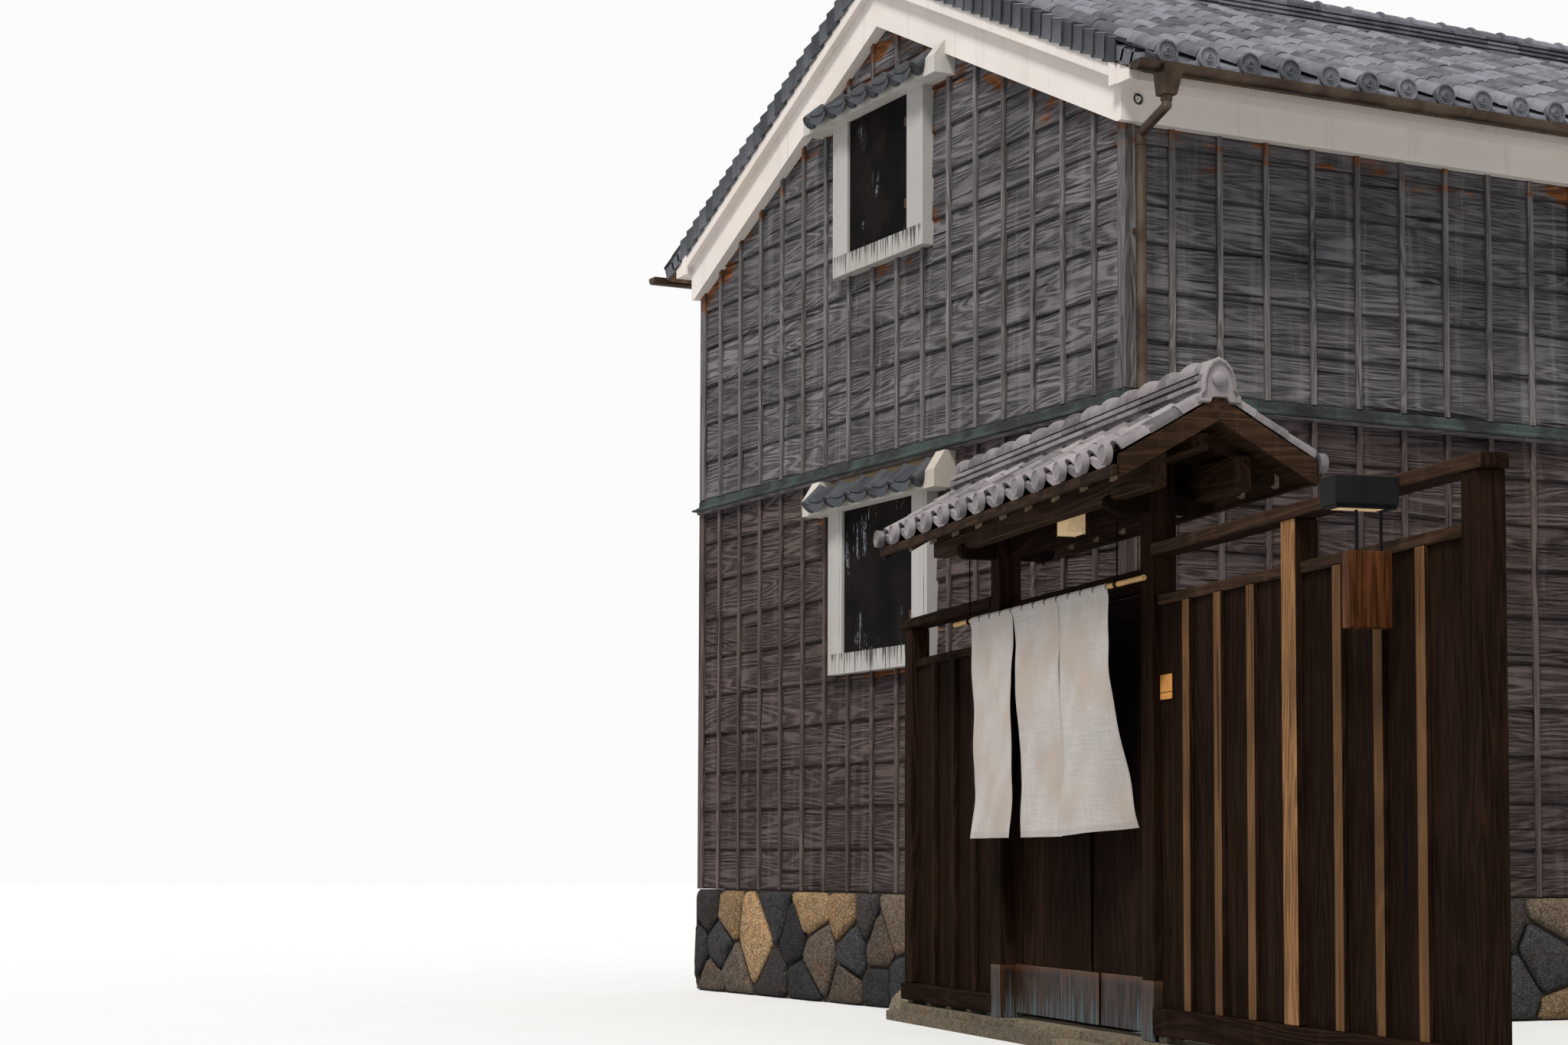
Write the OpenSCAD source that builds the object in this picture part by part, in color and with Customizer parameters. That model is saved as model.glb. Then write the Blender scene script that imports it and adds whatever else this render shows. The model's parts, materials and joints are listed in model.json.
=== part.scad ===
// Storehouse-style machiya townhouse with its street gate and board fence.
// X runs along the street gable, Y into the house, Z up from the ground.

/* [House] */
// Width of the street gable over the corner boards
house_w = 5450; // [5000:50:6200]
// Length of the house from gable to gable
house_l = 7270; // [6500:10:9000]
// Height of the fieldstone plinth
plinth_h = 710; // [500:10:900]
// Height of the eave plaster's lower edge
eave_z = 4910; // [4880:5:5100]
// Rise of the roof for each unit of run
roof_pitch = 0.46; // [0.42:0.01:0.55]
// Thickness of the earth and timber walls behind the boards
wall_t = 160; // [120:5:200]
// Depth of the battens and boards in front of the walls
clad_t = 50; // [44:1:60]
// Thickness of a batten
batten_t = 30; // [20:1:36]
// Width of a corner board
corner_w = 75; // [70:1:100]
// Width of a batten
batten_w = 36; // [28:1:50]
// Number of bays between the battens of a gable
gable_bays = 17; // [12:1:22]
// How far the plinth stands in front of the battens
plinth_proud = 15; // [10:1:30]
// Thickness of the plinth's walls
plinth_t = 320; // [300:10:400]
// Thickness of the ground floor
ground_floor_t = 45; // [30:5:80]
// Top of the upper floor
upper_floor_z = 3450; // [3300:10:3600]
// Thickness of the upper floor
upper_floor_t = 50; // [30:5:90]

/* [Drip band] */
// Top of the copper band between the storeys
band_z = 3460; // [3440:1:3500]
// Height of the copper band
band_h = 80; // [60:1:95]
// How far the copper band stands in front of the battens
band_out = 40; // [25:1:44]
// Height of the timber strip under the copper
strip_h = 20; // [12:1:30]

/* [Plaster] */
// Upright height of the broad plaster band under the verge
broad_h = 245; // [200:5:300]
// How far the broad band stands in front of the battens
broad_out = 50; // [35:1:70]
// Upright height of the narrow plaster band above it
narrow_h = 85; // [60:1:120]
// How far the narrow band stands in front of the battens
narrow_out = 100; // [80:1:110]
// How far the eave plaster stands beyond the side battens
eave_step = 45; // [30:1:46]
// Height of the eave plaster's broad face
eave_face_h = 180; // [150:5:200]
// How far the narrow band reaches out under the eaves
eave_soffit = 200; // [150:5:240]

/* [Roof] */
// Overhang of the eaves beyond the corner boards
eave_out = 360; // [300:5:400]
// Overhang of the verge beyond the corner boards
verge_out = 115; // [115:1:200]
// Thickness of the roof boards and the tile bed
roof_t = 90; // [80:5:120]
// Width of the ridge courses at their foot
ridge_w = 300; // [240:5:360]
// Height of one ridge course
ridge_course_h = 42; // [30:1:55]
// Number of ridge courses
ridge_courses = 5; // [3:1:7]
// Radius of the round ridge cap
ridge_cap_r = 80; // [60:1:95]
// Spacing of the round tiles along the eave
tile_column = 270; // [240:5:320]
// Radius of a round tile on the house
roll_r = 64; // [50:1:75]
// Height of a round tile's axis above the tile bed
roll_n = 24; // [15:1:35]
// Height of the flat tiles at their edges
flat_n = 25; // [15:1:35]
// How far the round tiles' ends stand beyond the eave
round_out = 20; // [15:1:45]
// Length of a verge plate along the roof
plate_step = 118; // [90:1:240]
// How far the verge plates hang below the tile bed
plate_drop = 135; // [100:5:150]
// Thickness of a verge plate
plate_t = 15; // [8:1:15]
// How much a verge plate's foot stands above the next one
plate_lift = 20; // [8:1:30]
// Distance of the last verge plate from the eave
plate_stop = 280; // [200:10:400]

/* [Windows] */
// Width of the upper window's opening
upper_w = 780; // [600:10:860]
// Height of the upper window's opening
upper_h = 856; // [800:2:860]
// Sill of the upper window's opening
upper_z = 4790; // [4750:5:4800]
// Width of the jambs of the upper window
upper_jamb = 200; // [150:5:220]
// Width of the lower window's opening
lower_w = 910; // [700:10:960]
// Height of the lower window's opening
lower_h = 911; // [850:1:920]
// Sill of the lower window's opening
lower_z = 2224; // [2180:2:2232]
// Width of the jambs of the lower window
lower_jamb = 190; // [150:5:210]
// Height of the plaster sill
sill_face_h = 130; // [90:5:160]
// How far the surround stands in front of the battens
surround_out = 50; // [35:1:70]
// Thickness of a shutter
shutter_t = 40; // [28:1:60]
// Depth of a shutter's face behind the surround's face
shutter_recess = 18; // [8:1:30]
// Width of a window canopy
canopy_w = 1730; // [1500:10:1760]
// How far the canopy's plaster stands in front of the battens
canopy_out = 125; // [110:1:160]
// Height of the canopy's front edge
canopy_edge_h = 87; // [60:1:100]
// Height of the upper canopy
canopy_h = 205; // [180:5:225]
// Width of a canopy's end shoulder
shoulder_w = 110; // [80:5:150]
// Radius of a round tile on a canopy
canopy_tile_r = 45; // [35:1:50]
// How far the canopies' tiles stand beyond their bed
canopy_tile_out = 50; // [30:1:70]

/* [Yard door] */
// Distance of the yard door's middle from the street gable
yard_door_y = 4900; // [3500:10:5200]
// Width of the yard door's opening
yard_door_w = 1000; // [800:10:1200]
// Height of the yard door's opening
yard_door_h = 1850; // [1700:10:2000]
// Width of the door's plaster surround
yard_jamb = 180; // [120:5:220]
// Depth of a stone step
step_d = 300; // [250:10:400]

/* [Gutters] */
// Radius of the half-round gutters
gutter_r = 52; // [45:1:60]
// Wall of the gutters
gutter_wall = 3; // [2:0.5:5]
// Radius of the downpipe
pipe_r = 27; // [22:1:28]
// Width of the hopper at its rim
hopper_w = 124; // [104:2:140]
// Height of the hopper
hopper_h = 152; // [120:2:180]

/* [Fence] */
// Angle between the street fence and the gable
fence_angle = 11.49; // [9:0.01:14]
// Place of the fence's left end along the gable
fence_x = 1219; // [1210:1:1260]
// Distance of the fence's left end in front of the gable
fence_y = 521; // [500:1:600]
// Width of a fence post
post_w = 125; // [100:1:140]
// Depth of a fence post
post_d = 110; // [95:1:120]
// Clear width of the bay on the left of the gate
bay_left = 1370; // [1200:5:1500]
// Clear width of the first bay on the right of the gate
bay_mid = 1340; // [1100:5:1500]
// Clear width of the last bay
bay_end = 1355; // [1100:5:1500]
// Height of the granite curb
curb_h = 100; // [80:1:120]
// Width of the guard stone at the house corner
guard_w = 400; // [360:5:440]
// Radius of the guard stone's worn corner
guard_r = 180; // [120:5:190]
// Height of the guard stone
guard_h = 220; // [195:5:260]
// Gap under the left sill
gap_left = 18; // [10:1:30]
// Height of the left sill
sill_left_h = 95; // [80:1:130]
// Gap under the right sill
gap_right = 30; // [10:1:40]
// Height of the right sill
sill_right_h = 120; // [80:1:130]
// Top of the left bay's beam
fence_top = 2290; // [2200:5:2330]
// How much higher the right bays stand
fence_step = 43; // [0:1:60]
// Height of the top beams
beam_h = 55; // [45:1:70]
// Top of the left bay's lower rail
rail_top = 2057; // [1950:1:2080]
// Height of the lower rails
rail_h = 48; // [35:1:60]
// Thickness of the fence boards
fence_board_t = 15; // [10:1:22]
// Depth of the fence boards behind the posts' faces
fence_board_v = 60; // [50:1:65]
// Width of the fence battens
fence_batten_w = 70; // [50:1:80]
// Thickness of the fence battens
fence_batten_t = 25; // [16:1:30]

/* [Gate] */
// Clear width between the gate posts
gate_w = 1905; // [1700:5:2000]
// Width of a gate post
gate_post_w = 140; // [130:1:170]
// Depth of a gate post
gate_post_d = 120; // [116:1:130]
// Underside of the door head
head_z = 2140; // [2080:5:2160]
// Height of the door head
head_h = 105; // [80:1:120]
// Underside of the gate lintel
lintel_z = 2480; // [2440:5:2500]
// Height of the gate lintel
lintel_h = 110; // [90:1:120]
// Underside of the arms through the posts
arm_z = 2476; // [2456:2:2490]
// Height of an arm
arm_h = 84; // [74:1:96]
// Thickness of an arm
arm_t = 60; // [45:1:80]
// Length of an arm
arm_l = 520; // [500:5:560]
// Distance of the eave purlins from the middle of the posts
purlin_out = 200; // [185:5:205]
// Width of a purlin
purlin_w = 80; // [60:1:90]
// Depth of the notch for a purlin
notch_h = 30; // [15:1:40]
// Height of a purlin at its outer face
purlin_h = 112; // [90:1:130]
// Rise of the gate roof for each unit of run
gate_pitch = 0.58; // [0.5:0.01:0.65]
// Run of the rafters from the middle of the gate
rafter_run = 390; // [360:5:420]
// Upright height of a rafter
rafter_h = 50; // [40:1:60]
// Width of a rafter
rafter_w = 45; // [35:1:60]
// Spacing of the rafters
rafter_gap = 360; // [300:5:450]
// Run of the eave tiles from the middle of the gate
gate_eave_run = 490; // [470:5:530]
// Overhang of the gate roof beyond the posts
gate_verge = 612; // [500:2:660]
// Upright thickness of the gate's tiles and bed
gate_tile_t = 143; // [130:1:170]
// Upright height of the round tiles above the gate's tile bed
gate_roll_h = 72; // [60:1:76]
// Radius of a round tile on the gate
gate_roll_r = 50; // [42:1:54]
// Distance of the first round tile from the gate's verge
gate_roll_in = 55; // [50:1:80]
// Width of the gate's ridge courses
gate_ridge_w = 160; // [140:5:200]
// Height of a course on the gate's ridge
gate_course_h = 38; // [28:1:48]
// Radius of the round tiles on the gate's ridge
gate_cap_r = 52; // [45:1:60]

/* [Gate leaves] */
// Thickness of a leaf
leaf_t = 35; // [30:1:40]
// Gap between a leaf and its post
leaf_gap = 5.5; // [5.5:0.5:8]
// Gap between the two leaves
meet_gap = 8.5; // [8.5:0.5:12]
// Underside of the leaves above the curb
leaf_lift = 25; // [15:1:40]
// Gap under the door head
leaf_head_gap = 7; // [6:1:12]
// Width of the leaves' stiles
stile_w = 95; // [70:1:120]
// Height of the leaves' rails
leaf_rail_h = 120; // [90:5:150]
// Radius of a hinge pin
pin_r = 8; // [6:0.5:9]

/* [Door curtain] */
// Radius of the bamboo rod
rod_r = 14; // [11:0.5:16]
// Length of the rod
rod_l = 2600; // [2300:10:2700]
// Height of the rod's middle
rod_z = 2150; // [2100:5:2200]
// Width of the cloth
cloth_w = 1915; // [1500:5:1930]
// Height of the cloth below the rod
cloth_h = 1130; // [800:5:1300]
// Thickness of the cloth's solid
cloth_t = 8; // [6:1:12]

/* [Fittings] */
// Width of the lantern
lantern_w = 135; // [100:1:170]
// Depth of the lantern
lantern_d = 95; // [60:1:110]
// Height of the lantern
lantern_h = 130; // [100:1:160]
// Length of the projecting lamp
lamp_l = 260; // [200:5:330]
// Height of the projecting lamp
lamp_h = 160; // [120:1:180]
// Width of the projecting lamp
lamp_w = 130; // [100:1:160]

/* [Hidden] */
$fn = 48;
eps = 1;
seat = 0.3;

hw = house_w / 2;
core_in = clad_t + wall_t;
roof_z = eave_z + broad_h + narrow_h;
roof_up = roof_t / cos(atan(roof_pitch));
band_bottom = band_z - band_h - strip_h;
upper_head = upper_z + upper_h;
lower_head = lower_z + lower_h;

// Underside of the roof at a distance x from the middle
function under(x) = roof_z + roof_pitch * (hw - x);

module box(x0, x1, y0, y1, z0, z1)
    translate([x0, y0, z0]) cube([x1 - x0, y1 - y0, z1 - z0]);

// Raises an outline drawn in X and Z to a slab from y0 to y1
module upright(y0, y1)
    translate([0, y1, 0]) rotate([90, 0, 0]) linear_extrude(y1 - y0) children();

// Sweeps an outline drawn in Y and Z along X
module along(x0, x1)
    translate([x0, 0, 0]) rotate([90, 0, 90]) linear_extrude(x1 - x0) children();

module to_back() translate([0, house_l, 0]) rotate([0, 0, 180]) children();

module gable_outline(half, z0, drop)
    polygon([[-half, z0], [half, z0], [half, under(half) - drop],
             [0, under(0) - drop], [-half, under(half) - drop]]);

// Plinth and floors
module stone_plinth() color("#4c4f55") difference() {
    box(-hw - plinth_proud, hw + plinth_proud, -plinth_proud, house_l + plinth_proud, 0, plinth_h);
    box(-hw - plinth_proud + plinth_t, hw + plinth_proud - plinth_t,
        plinth_t - plinth_proud, house_l + plinth_proud - plinth_t, -eps, plinth_h + eps);
}

module floor_slab(z0, z1)
    box(-hw + core_in, hw - core_in, core_in, house_l - core_in, z0, z1);

module ground_floor() color("#6d5540") floor_slab(plinth_h, plinth_h + ground_floor_t);
module upper_floor() color("#6d5540") floor_slab(upper_floor_z - upper_floor_t, upper_floor_z);

// Walls of earth on a timber frame
module window_cuts() {
    box(-upper_w / 2, upper_w / 2, -eps, core_in + eps, upper_z, upper_head);
    box(-lower_w / 2, lower_w / 2, -eps, core_in + eps, lower_z, lower_head);
}

module gable_wall() difference() {
    upright(clad_t, core_in) gable_outline(hw - clad_t, plinth_h, 0);
    window_cuts();
}

module front_wall() color("#b9a98c") gable_wall();
module back_wall() color("#b9a98c") to_back() gable_wall();

module side_wall() upright(core_in, house_l - core_in)
    polygon([[hw - core_in, plinth_h], [hw - clad_t, plinth_h],
             [hw - clad_t, under(hw - clad_t)], [hw - core_in, under(hw - core_in)]]);

module yard_cut(x0, x1)
    box(x0, x1, yard_door_y - yard_door_w / 2, yard_door_y + yard_door_w / 2,
        plinth_h + ground_floor_t, plinth_h + ground_floor_t + yard_door_h);

module left_wall() color("#b9a98c") mirror([1, 0, 0]) side_wall();
module right_wall() color("#b9a98c") difference() {
    side_wall();
    yard_cut(hw - core_in - eps, hw - clad_t + eps);
}

// Boards with battens and corner boards in front of them, on both storeys
module band_cut() difference() {
    box(-hw - eps, hw + eps, -eps, house_l + eps, band_bottom, band_z);
    box(-hw + clad_t + eps, hw - clad_t - eps, clad_t + eps, house_l - clad_t - eps,
        band_bottom - eps, band_z + eps);
}

module surround_room(w, z, head, jamb, top) {
    box(-w / 2 - jamb, w / 2 + jamb, -eps, clad_t + eps, z - sill_face_h, head + eps);
    box(-canopy_w / 2, canopy_w / 2, -eps, clad_t + eps, head, head + top);
}

module gable_boards() difference() {
    union() {
        upright(batten_t, clad_t) gable_outline(hw - batten_t, plinth_h, broad_h + narrow_h);
        upright(0, batten_t + eps) intersection() {
            gable_outline(hw, plinth_h, broad_h + narrow_h);
            for (i = [1:gable_bays - 1])
                translate([-hw + i * house_w / gable_bays - batten_w / 2, 0])
                    square([batten_w, under(0)]);
        }
        for (side = [0, 1]) mirror([side, 0, 0]) upright(0, batten_t)
            polygon([[hw - corner_w, plinth_h], [hw, plinth_h], [hw, eave_z],
                     [hw - corner_w, eave_z + corner_w * roof_pitch]]);
    }
    surround_room(upper_w, upper_z, upper_head, upper_jamb, canopy_h);
    surround_room(lower_w, lower_z, lower_head, lower_jamb, band_bottom - lower_head);
    band_cut();
}

module front_cladding() color("#77706d") gable_boards();
module back_cladding() color("#77706d") to_back() gable_boards();

side_bays = round(house_l / (house_w / gable_bays));
module side_boards() difference() {
    union() {
        box(hw - clad_t, hw - batten_t, clad_t, house_l - clad_t, plinth_h, eave_z);
        box(hw - batten_t, hw, batten_t, corner_w, plinth_h, eave_z);
        box(hw - batten_t, hw, house_l - corner_w, house_l - batten_t, plinth_h, eave_z);
        for (i = [1:side_bays - 1])
            box(hw - batten_t - eps, hw, i * house_l / side_bays - batten_w / 2,
                i * house_l / side_bays + batten_w / 2, plinth_h, eave_z);
    }
    band_cut();
}

module left_cladding() color("#77706d") mirror([1, 0, 0]) side_boards();
module right_cladding() color("#77706d") difference() {
    side_boards();
    box(hw - clad_t - eps, hw + eps, yard_door_y - yard_door_w / 2 - yard_jamb,
        yard_door_y + yard_door_w / 2 + yard_jamb, plinth_h - eps,
        plinth_h + ground_floor_t + yard_door_h + yard_jamb);
}

// Copper band with a timber strip below it, round all four sides
copper_z = band_z - band_h;
drip_edge_h = 12;
drip_rise = 22;
strip_out = 14;

module drip_outline(low, high) polygon([
    [low - strip_out, band_bottom], [high + strip_out, band_bottom],
    [high + strip_out, copper_z], [high + band_out, copper_z], [high + band_out, copper_z + drip_edge_h],
    [high + 2, copper_z + drip_edge_h + drip_rise], [high + 2, band_z],
    [low - 2, band_z], [low - 2, copper_z + drip_edge_h + drip_rise],
    [low - band_out, copper_z + drip_edge_h], [low - band_out, copper_z], [low - strip_out, copper_z]]);

module drip_band() color("#5d7a6c") difference() {
    intersection() {
        upright(-band_out, house_l + band_out) drip_outline(-hw, hw);
        along(-hw - band_out, hw + band_out) drip_outline(0, house_l);
    }
    box(-hw + clad_t, hw - clad_t, clad_t, house_l - clad_t, band_bottom - eps, band_z + eps);
}

// White plaster under the verge, in two bands that step out
far = hw + eave_soffit;
near = hw + eave_step;
module broad_band() for (m = [0, 1]) mirror([m, 0])
    polygon([[0, under(0) - broad_h - narrow_h], [hw, eave_z], [near, eave_z],
             [near, under(near) - narrow_h], [0, under(0) - narrow_h]]);

module narrow_band() for (m = [0, 1]) mirror([m, 0])
    polygon([[0, under(0) - narrow_h], [near, under(near) - narrow_h], [near, eave_z + eave_face_h],
             [far, eave_z + eave_face_h], [far, under(far)], [0, under(0)]]);

module gable_plaster() {
    upright(-broad_out, clad_t) broad_band();
    upright(-narrow_out, clad_t) narrow_band();
}

module front_gable_plaster() color("#d9dbe2") gable_plaster();
module back_gable_plaster() color("#d9dbe2") to_back() gable_plaster();

module eave_plaster() upright(clad_t, house_l - clad_t)
    polygon([[hw - clad_t, eave_z], [near, eave_z], [near, eave_z + eave_face_h],
             [far, eave_z + eave_face_h], [far, under(far)], [hw - clad_t, under(hw - clad_t)]]);

module right_eave_plaster() color("#d9dbe2") eave_plaster();
module left_eave_plaster() color("#d9dbe2") mirror([1, 0, 0]) eave_plaster();

// Tiled slopes: the outline runs along the eave, over shallow flats between round tiles
sunk = 5;
function place(i, first, last, n) = first + i * (last - first) / n;
function round_tile(u, n, r) = [for (a = [165:-30:15]) [u + r * cos(a), n + r * sin(a)]];
function tile_line(first, last, n, axis_n, r) = [for (i = [0:n])
    each concat(round_tile(place(i, first, last, n), axis_n, r),
                i < n ? [[place(i + 0.5, first, last, n), axis_n - 2]] : [])];

module tile_section(u0, u1, first, last, n, axis_n, r, edge_n)
    polygon(concat([[u0, -sunk], [u0, edge_n]], tile_line(first, last, n, axis_n, r),
                   [[u1, edge_n], [u1, -sunk]]));

// Sweeps a section down a slope that falls towards X, from the head to where its top is at x1
module down_slope(pitch, x0, x1, n) rotate([0, atan(pitch), 0])
    along(x0 / cos(atan(pitch)), (x1 - n * sin(atan(pitch))) / cos(atan(pitch))) children();

// Round ends of the tiles, seen from the eave
module round_ends(first, last, n, x, z, r, depth) for (i = [0:n])
    translate([x, place(i, first, last, n), z]) rotate([0, 90, 0]) rotate([0, 0, 15])
        cylinder(r = r, h = depth, $fn = 12);

// Roof slabs that meet at the ridge, with their tiles
edge_x = hw + eave_out;
roof_end = verge_out - plate_t;
round_cover = 12;
roll_in = 22;
roof_columns = round((house_l - 2 * roll_in) / tile_column);
edge_top = under(edge_x) + roof_up;

disc_l = 60;
disc_rim = 2;

module roof_half() {
    upright(-roof_end, house_l + roof_end)
        polygon([[0, under(0)], [edge_x, under(edge_x)], [edge_x, edge_top], [0, under(0) + roof_up]]);
    translate([0, 0, under(0) + roof_up])
        down_slope(roof_pitch, ridge_w / 2 + sunk, edge_x + round_out - round_cover, roll_n + roll_r)
            tile_section(eps - roof_end, house_l + roof_end - eps, roll_in, house_l - roll_in,
                         roof_columns, roll_n, roll_r, flat_n);
    round_ends(roll_in, house_l - roll_in, roof_columns, edge_x - disc_l, edge_top + roll_n,
               roll_r + disc_rim, disc_l + round_out);
}

module roof_right() color("#8b8d92") roof_half();
module roof_left() color("#8b8d92") mirror([1, 0, 0]) roof_half();

// Overlapping plates that hang down the verge, each with its foot above the next one
plate_a = edge_x - plate_stop;
plate_b = ridge_w / 2;
plates = round((plate_a - plate_b) / (plate_step * cos(atan(roof_pitch))));
function bed_top(x) = under(x) + roof_up;
function plate_x(i) = place(i, plate_a, plate_b, plates);

module verge_half(y) upright(y, y + plate_t) polygon(concat(
    [for (i = [0:plates - 1]) each [[plate_x(i), bed_top(plate_x(i)) + flat_n + plate_lift],
                                    [plate_x(i + 1), bed_top(plate_x(i + 1)) + flat_n]]],
    [[plate_b, bed_top(plate_b)], [0, bed_top(0)], [0, bed_top(0) - plate_drop],
     [plate_a, bed_top(plate_a) - plate_drop]]));

module verge_tiles() color("#76787e") for (side = [0, 1]) mirror([side, 0, 0]) {
    verge_half(-verge_out);
    verge_half(house_l + roof_end);
}

// Rounded shield that closes the end of a ridge, drawn from its foot up
module ridge_end(w, h, y0, y1) {
    head_r = w * 0.42;
    upright(y0, y1) {
        polygon([[-w * 0.55, 0], [w * 0.55, 0], [w * 0.58, h * 0.14], [w * 0.43, h * 0.28],
                 [head_r, h - head_r], [-head_r, h - head_r], [-w * 0.43, h * 0.28], [-w * 0.58, h * 0.14]]);
        translate([0, h - head_r]) rotate(15) circle(head_r, $fn = 12);
    }
}

// Ridge in stepped courses under a round cap, with a shield at each end
ridge_end_t = 70;
module roof_ridge() color("#85878c") {
    taper = 8;
    foot = under(ridge_w / 2) + roof_up;
    cap_z = foot + ridge_courses * ridge_course_h;
    difference() {
        union() {
            upright(-verge_out + eps, house_l + verge_out - eps) {
                for (i = [1:ridge_courses])
                    translate([-ridge_w / 2 + i * taper, foot + (i - 1) * ridge_course_h])
                        square([ridge_w - 2 * i * taper, ridge_course_h + (i < ridge_courses ? eps : 0)]);
                translate([0, cap_z]) circle(ridge_cap_r);
            }
            for (y = [-verge_out, house_l + verge_out - ridge_end_t]) translate([0, 0, foot])
                ridge_end(ridge_w * 0.84, cap_z + ridge_cap_r - foot, y, y + ridge_end_t);
        }
        upright(-verge_out - eps, house_l + verge_out + eps)
            polygon([[-hw, bed_top(hw)], [0, bed_top(0)], [hw, bed_top(hw)], [hw, 0], [-hw, 0]]);
    }
}

// Plaster surround of a window: sill and jambs
module surround(w, z, head, jamb) difference() {
    box(-w / 2 - jamb, w / 2 + jamb, -surround_out, clad_t, z - sill_face_h, head);
    box(-w / 2, w / 2, -surround_out - eps, clad_t + eps, z, head + eps);
}

// The gable above the boards, which the upper canopy leaves to the plaster band
module gable_room()
    polygon([[-hw, eave_z], [0, under(0) - broad_h - narrow_h], [hw, eave_z],
             [hw, under(0)], [-hw, under(0)]]);

// Canopy: a plaster mass with two shoulders and a sloping bed of round tiles between them
bed_share = 0.72;
shoulder_gap = 6;
shoulder_lip = 20;
module canopy_rounds(head, h) {
    run = canopy_out - surround_out;
    rise = h * bed_share - canopy_edge_h;
    slope_l = norm([run, rise]);
    reach = canopy_w / 2 - shoulder_w - canopy_tile_r - shoulder_gap;
    n = round(2 * reach / tile_column);
    for (i = [0:n]) translate([place(i, -reach, reach, n), -canopy_out, head + canopy_edge_h])
        rotate([-atan2(run, rise), 0, 0]) translate([0, 0, -canopy_tile_out])
            rotate(15) cylinder(r = canopy_tile_r, h = canopy_tile_out + slope_l, $fn = 12);
}

module canopy(head, h) difference() {
    union() {
        canopy_rounds(head, h);
        along(-canopy_w / 2, canopy_w / 2)
            polygon([[clad_t, head], [-canopy_out, head], [-canopy_out, head + canopy_edge_h],
                     [-surround_out, head + h * bed_share], [clad_t, head + h * bed_share]]);
        for (side = [0, 1]) mirror([side, 0, 0])
            along(canopy_w / 2 - shoulder_w, canopy_w / 2)
                polygon([[clad_t, head], [-canopy_out, head],
                         [-canopy_out, head + canopy_edge_h + shoulder_lip],
                         [-surround_out, head + h], [clad_t, head + h]]);
    }
    upright(-broad_out, clad_t + eps) gable_room();
}

module shutter(w, z, head) {
    y0 = shutter_recess - surround_out;
    box(-w / 2 + 2, w / 2 - 2, y0, y0 + shutter_t, z, head - 2);
}

module upper_window_surround() color("#dcdde3") surround(upper_w, upper_z, upper_head, upper_jamb);
module upper_window_canopy() color("#c9bda6") canopy(upper_head, canopy_h);
module upper_window_shutter() color("#2b2727") shutter(upper_w, upper_z, upper_head);
module lower_window_surround() color("#dcdde3") surround(lower_w, lower_z, lower_head, lower_jamb);
module lower_window_canopy() color("#c9bda6") canopy(lower_head, band_bottom - lower_head);
module lower_window_shutter() color("#151415") shutter(lower_w, lower_z, lower_head);

module back_window_surrounds() color("#dcdde3") to_back() {
    surround(upper_w, upper_z, upper_head, upper_jamb);
    surround(lower_w, lower_z, lower_head, lower_jamb);
}
module back_window_canopies() color("#c9bda6") to_back() {
    canopy(upper_head, canopy_h);
    canopy(lower_head, band_bottom - lower_head);
}
module back_window_shutters() color("#2b2727") to_back() {
    shutter(upper_w, upper_z, upper_head);
    shutter(lower_w, lower_z, lower_head);
}

// Yard door in a plain plaster surround, with stone steps
module yard_door_surround() color("#dcdde3") difference() {
    box(hw - clad_t, hw + surround_out, yard_door_y - yard_door_w / 2 - yard_jamb,
        yard_door_y + yard_door_w / 2 + yard_jamb, plinth_h,
        plinth_h + ground_floor_t + yard_door_h + yard_jamb);
    yard_cut(hw - clad_t - eps, hw + surround_out + eps);
}

module yard_door() color("#2b2420")
    box(hw + surround_out - shutter_recess - shutter_t, hw + surround_out - shutter_recess,
        yard_door_y - yard_door_w / 2 + 2, yard_door_y + yard_door_w / 2 - 2,
        plinth_h + ground_floor_t, plinth_h + ground_floor_t + yard_door_h - 2);

module yard_step() color("#a89a82") for (i = [0, 1])
    box(hw + plinth_proud, hw + plinth_proud + (i + 1) * step_d,
        yard_door_y - yard_door_w / 2 - 50, yard_door_y + yard_door_w / 2 + 50,
        0, plinth_h * (2 - i) / 3);

// Half-round gutters with a flange on the roof edge
rim_drop = 48;
rim_z = under(edge_x) + roof_up - rim_drop;
gutter_x = edge_x + gutter_r + seat;
gutter_front = 200;

module gutter() {
    difference() {
        upright(-gutter_front, house_l + gutter_front) translate([gutter_x, rim_z]) circle(gutter_r);
        upright(gutter_wall - gutter_front, house_l + gutter_front - gutter_wall)
            translate([gutter_x, rim_z]) circle(gutter_r - gutter_wall);
        box(edge_x - eps, edge_x + 3 * gutter_r, -2 * gutter_front, house_l + 2 * gutter_front,
            rim_z, rim_z + 2 * gutter_r);
    }
    box(edge_x + seat, edge_x + seat + gutter_wall, -gutter_front, house_l + gutter_front,
        rim_z - 40, rim_z);
}

module gutter_right() color("#4a3d36") gutter();
module gutter_left() color("#4a3d36") mirror([1, 0, 0]) gutter();

// Hopper under the gutter's street end and the pipe below it
pipe_x = hw + 75;
pipe_y = 60;
pipe_foot = 60;
bore_end = 400;
strap_t = 8;
strap_h = 30;
strap_low = 1500;
strap_high = 4300;
hopper_drop = 15;
bend_drop = 55;
bend_rise = 60;
hopper_top = rim_z - hopper_drop;
hopper_z = hopper_top - hopper_h;
hopper_wall = 4;
hopper_x = edge_x + hopper_wall;
hopper_foot = 0.65;
offset_top = hopper_z - bend_drop;
offset_low = offset_top - bend_rise;

module leg(a, b, r) {
    d = b - a;
    l = norm(d);
    translate(a) rotate([0, acos(d[2] / l), atan2(d[1], d[0])]) cylinder(r = r, h = l);
}

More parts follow.
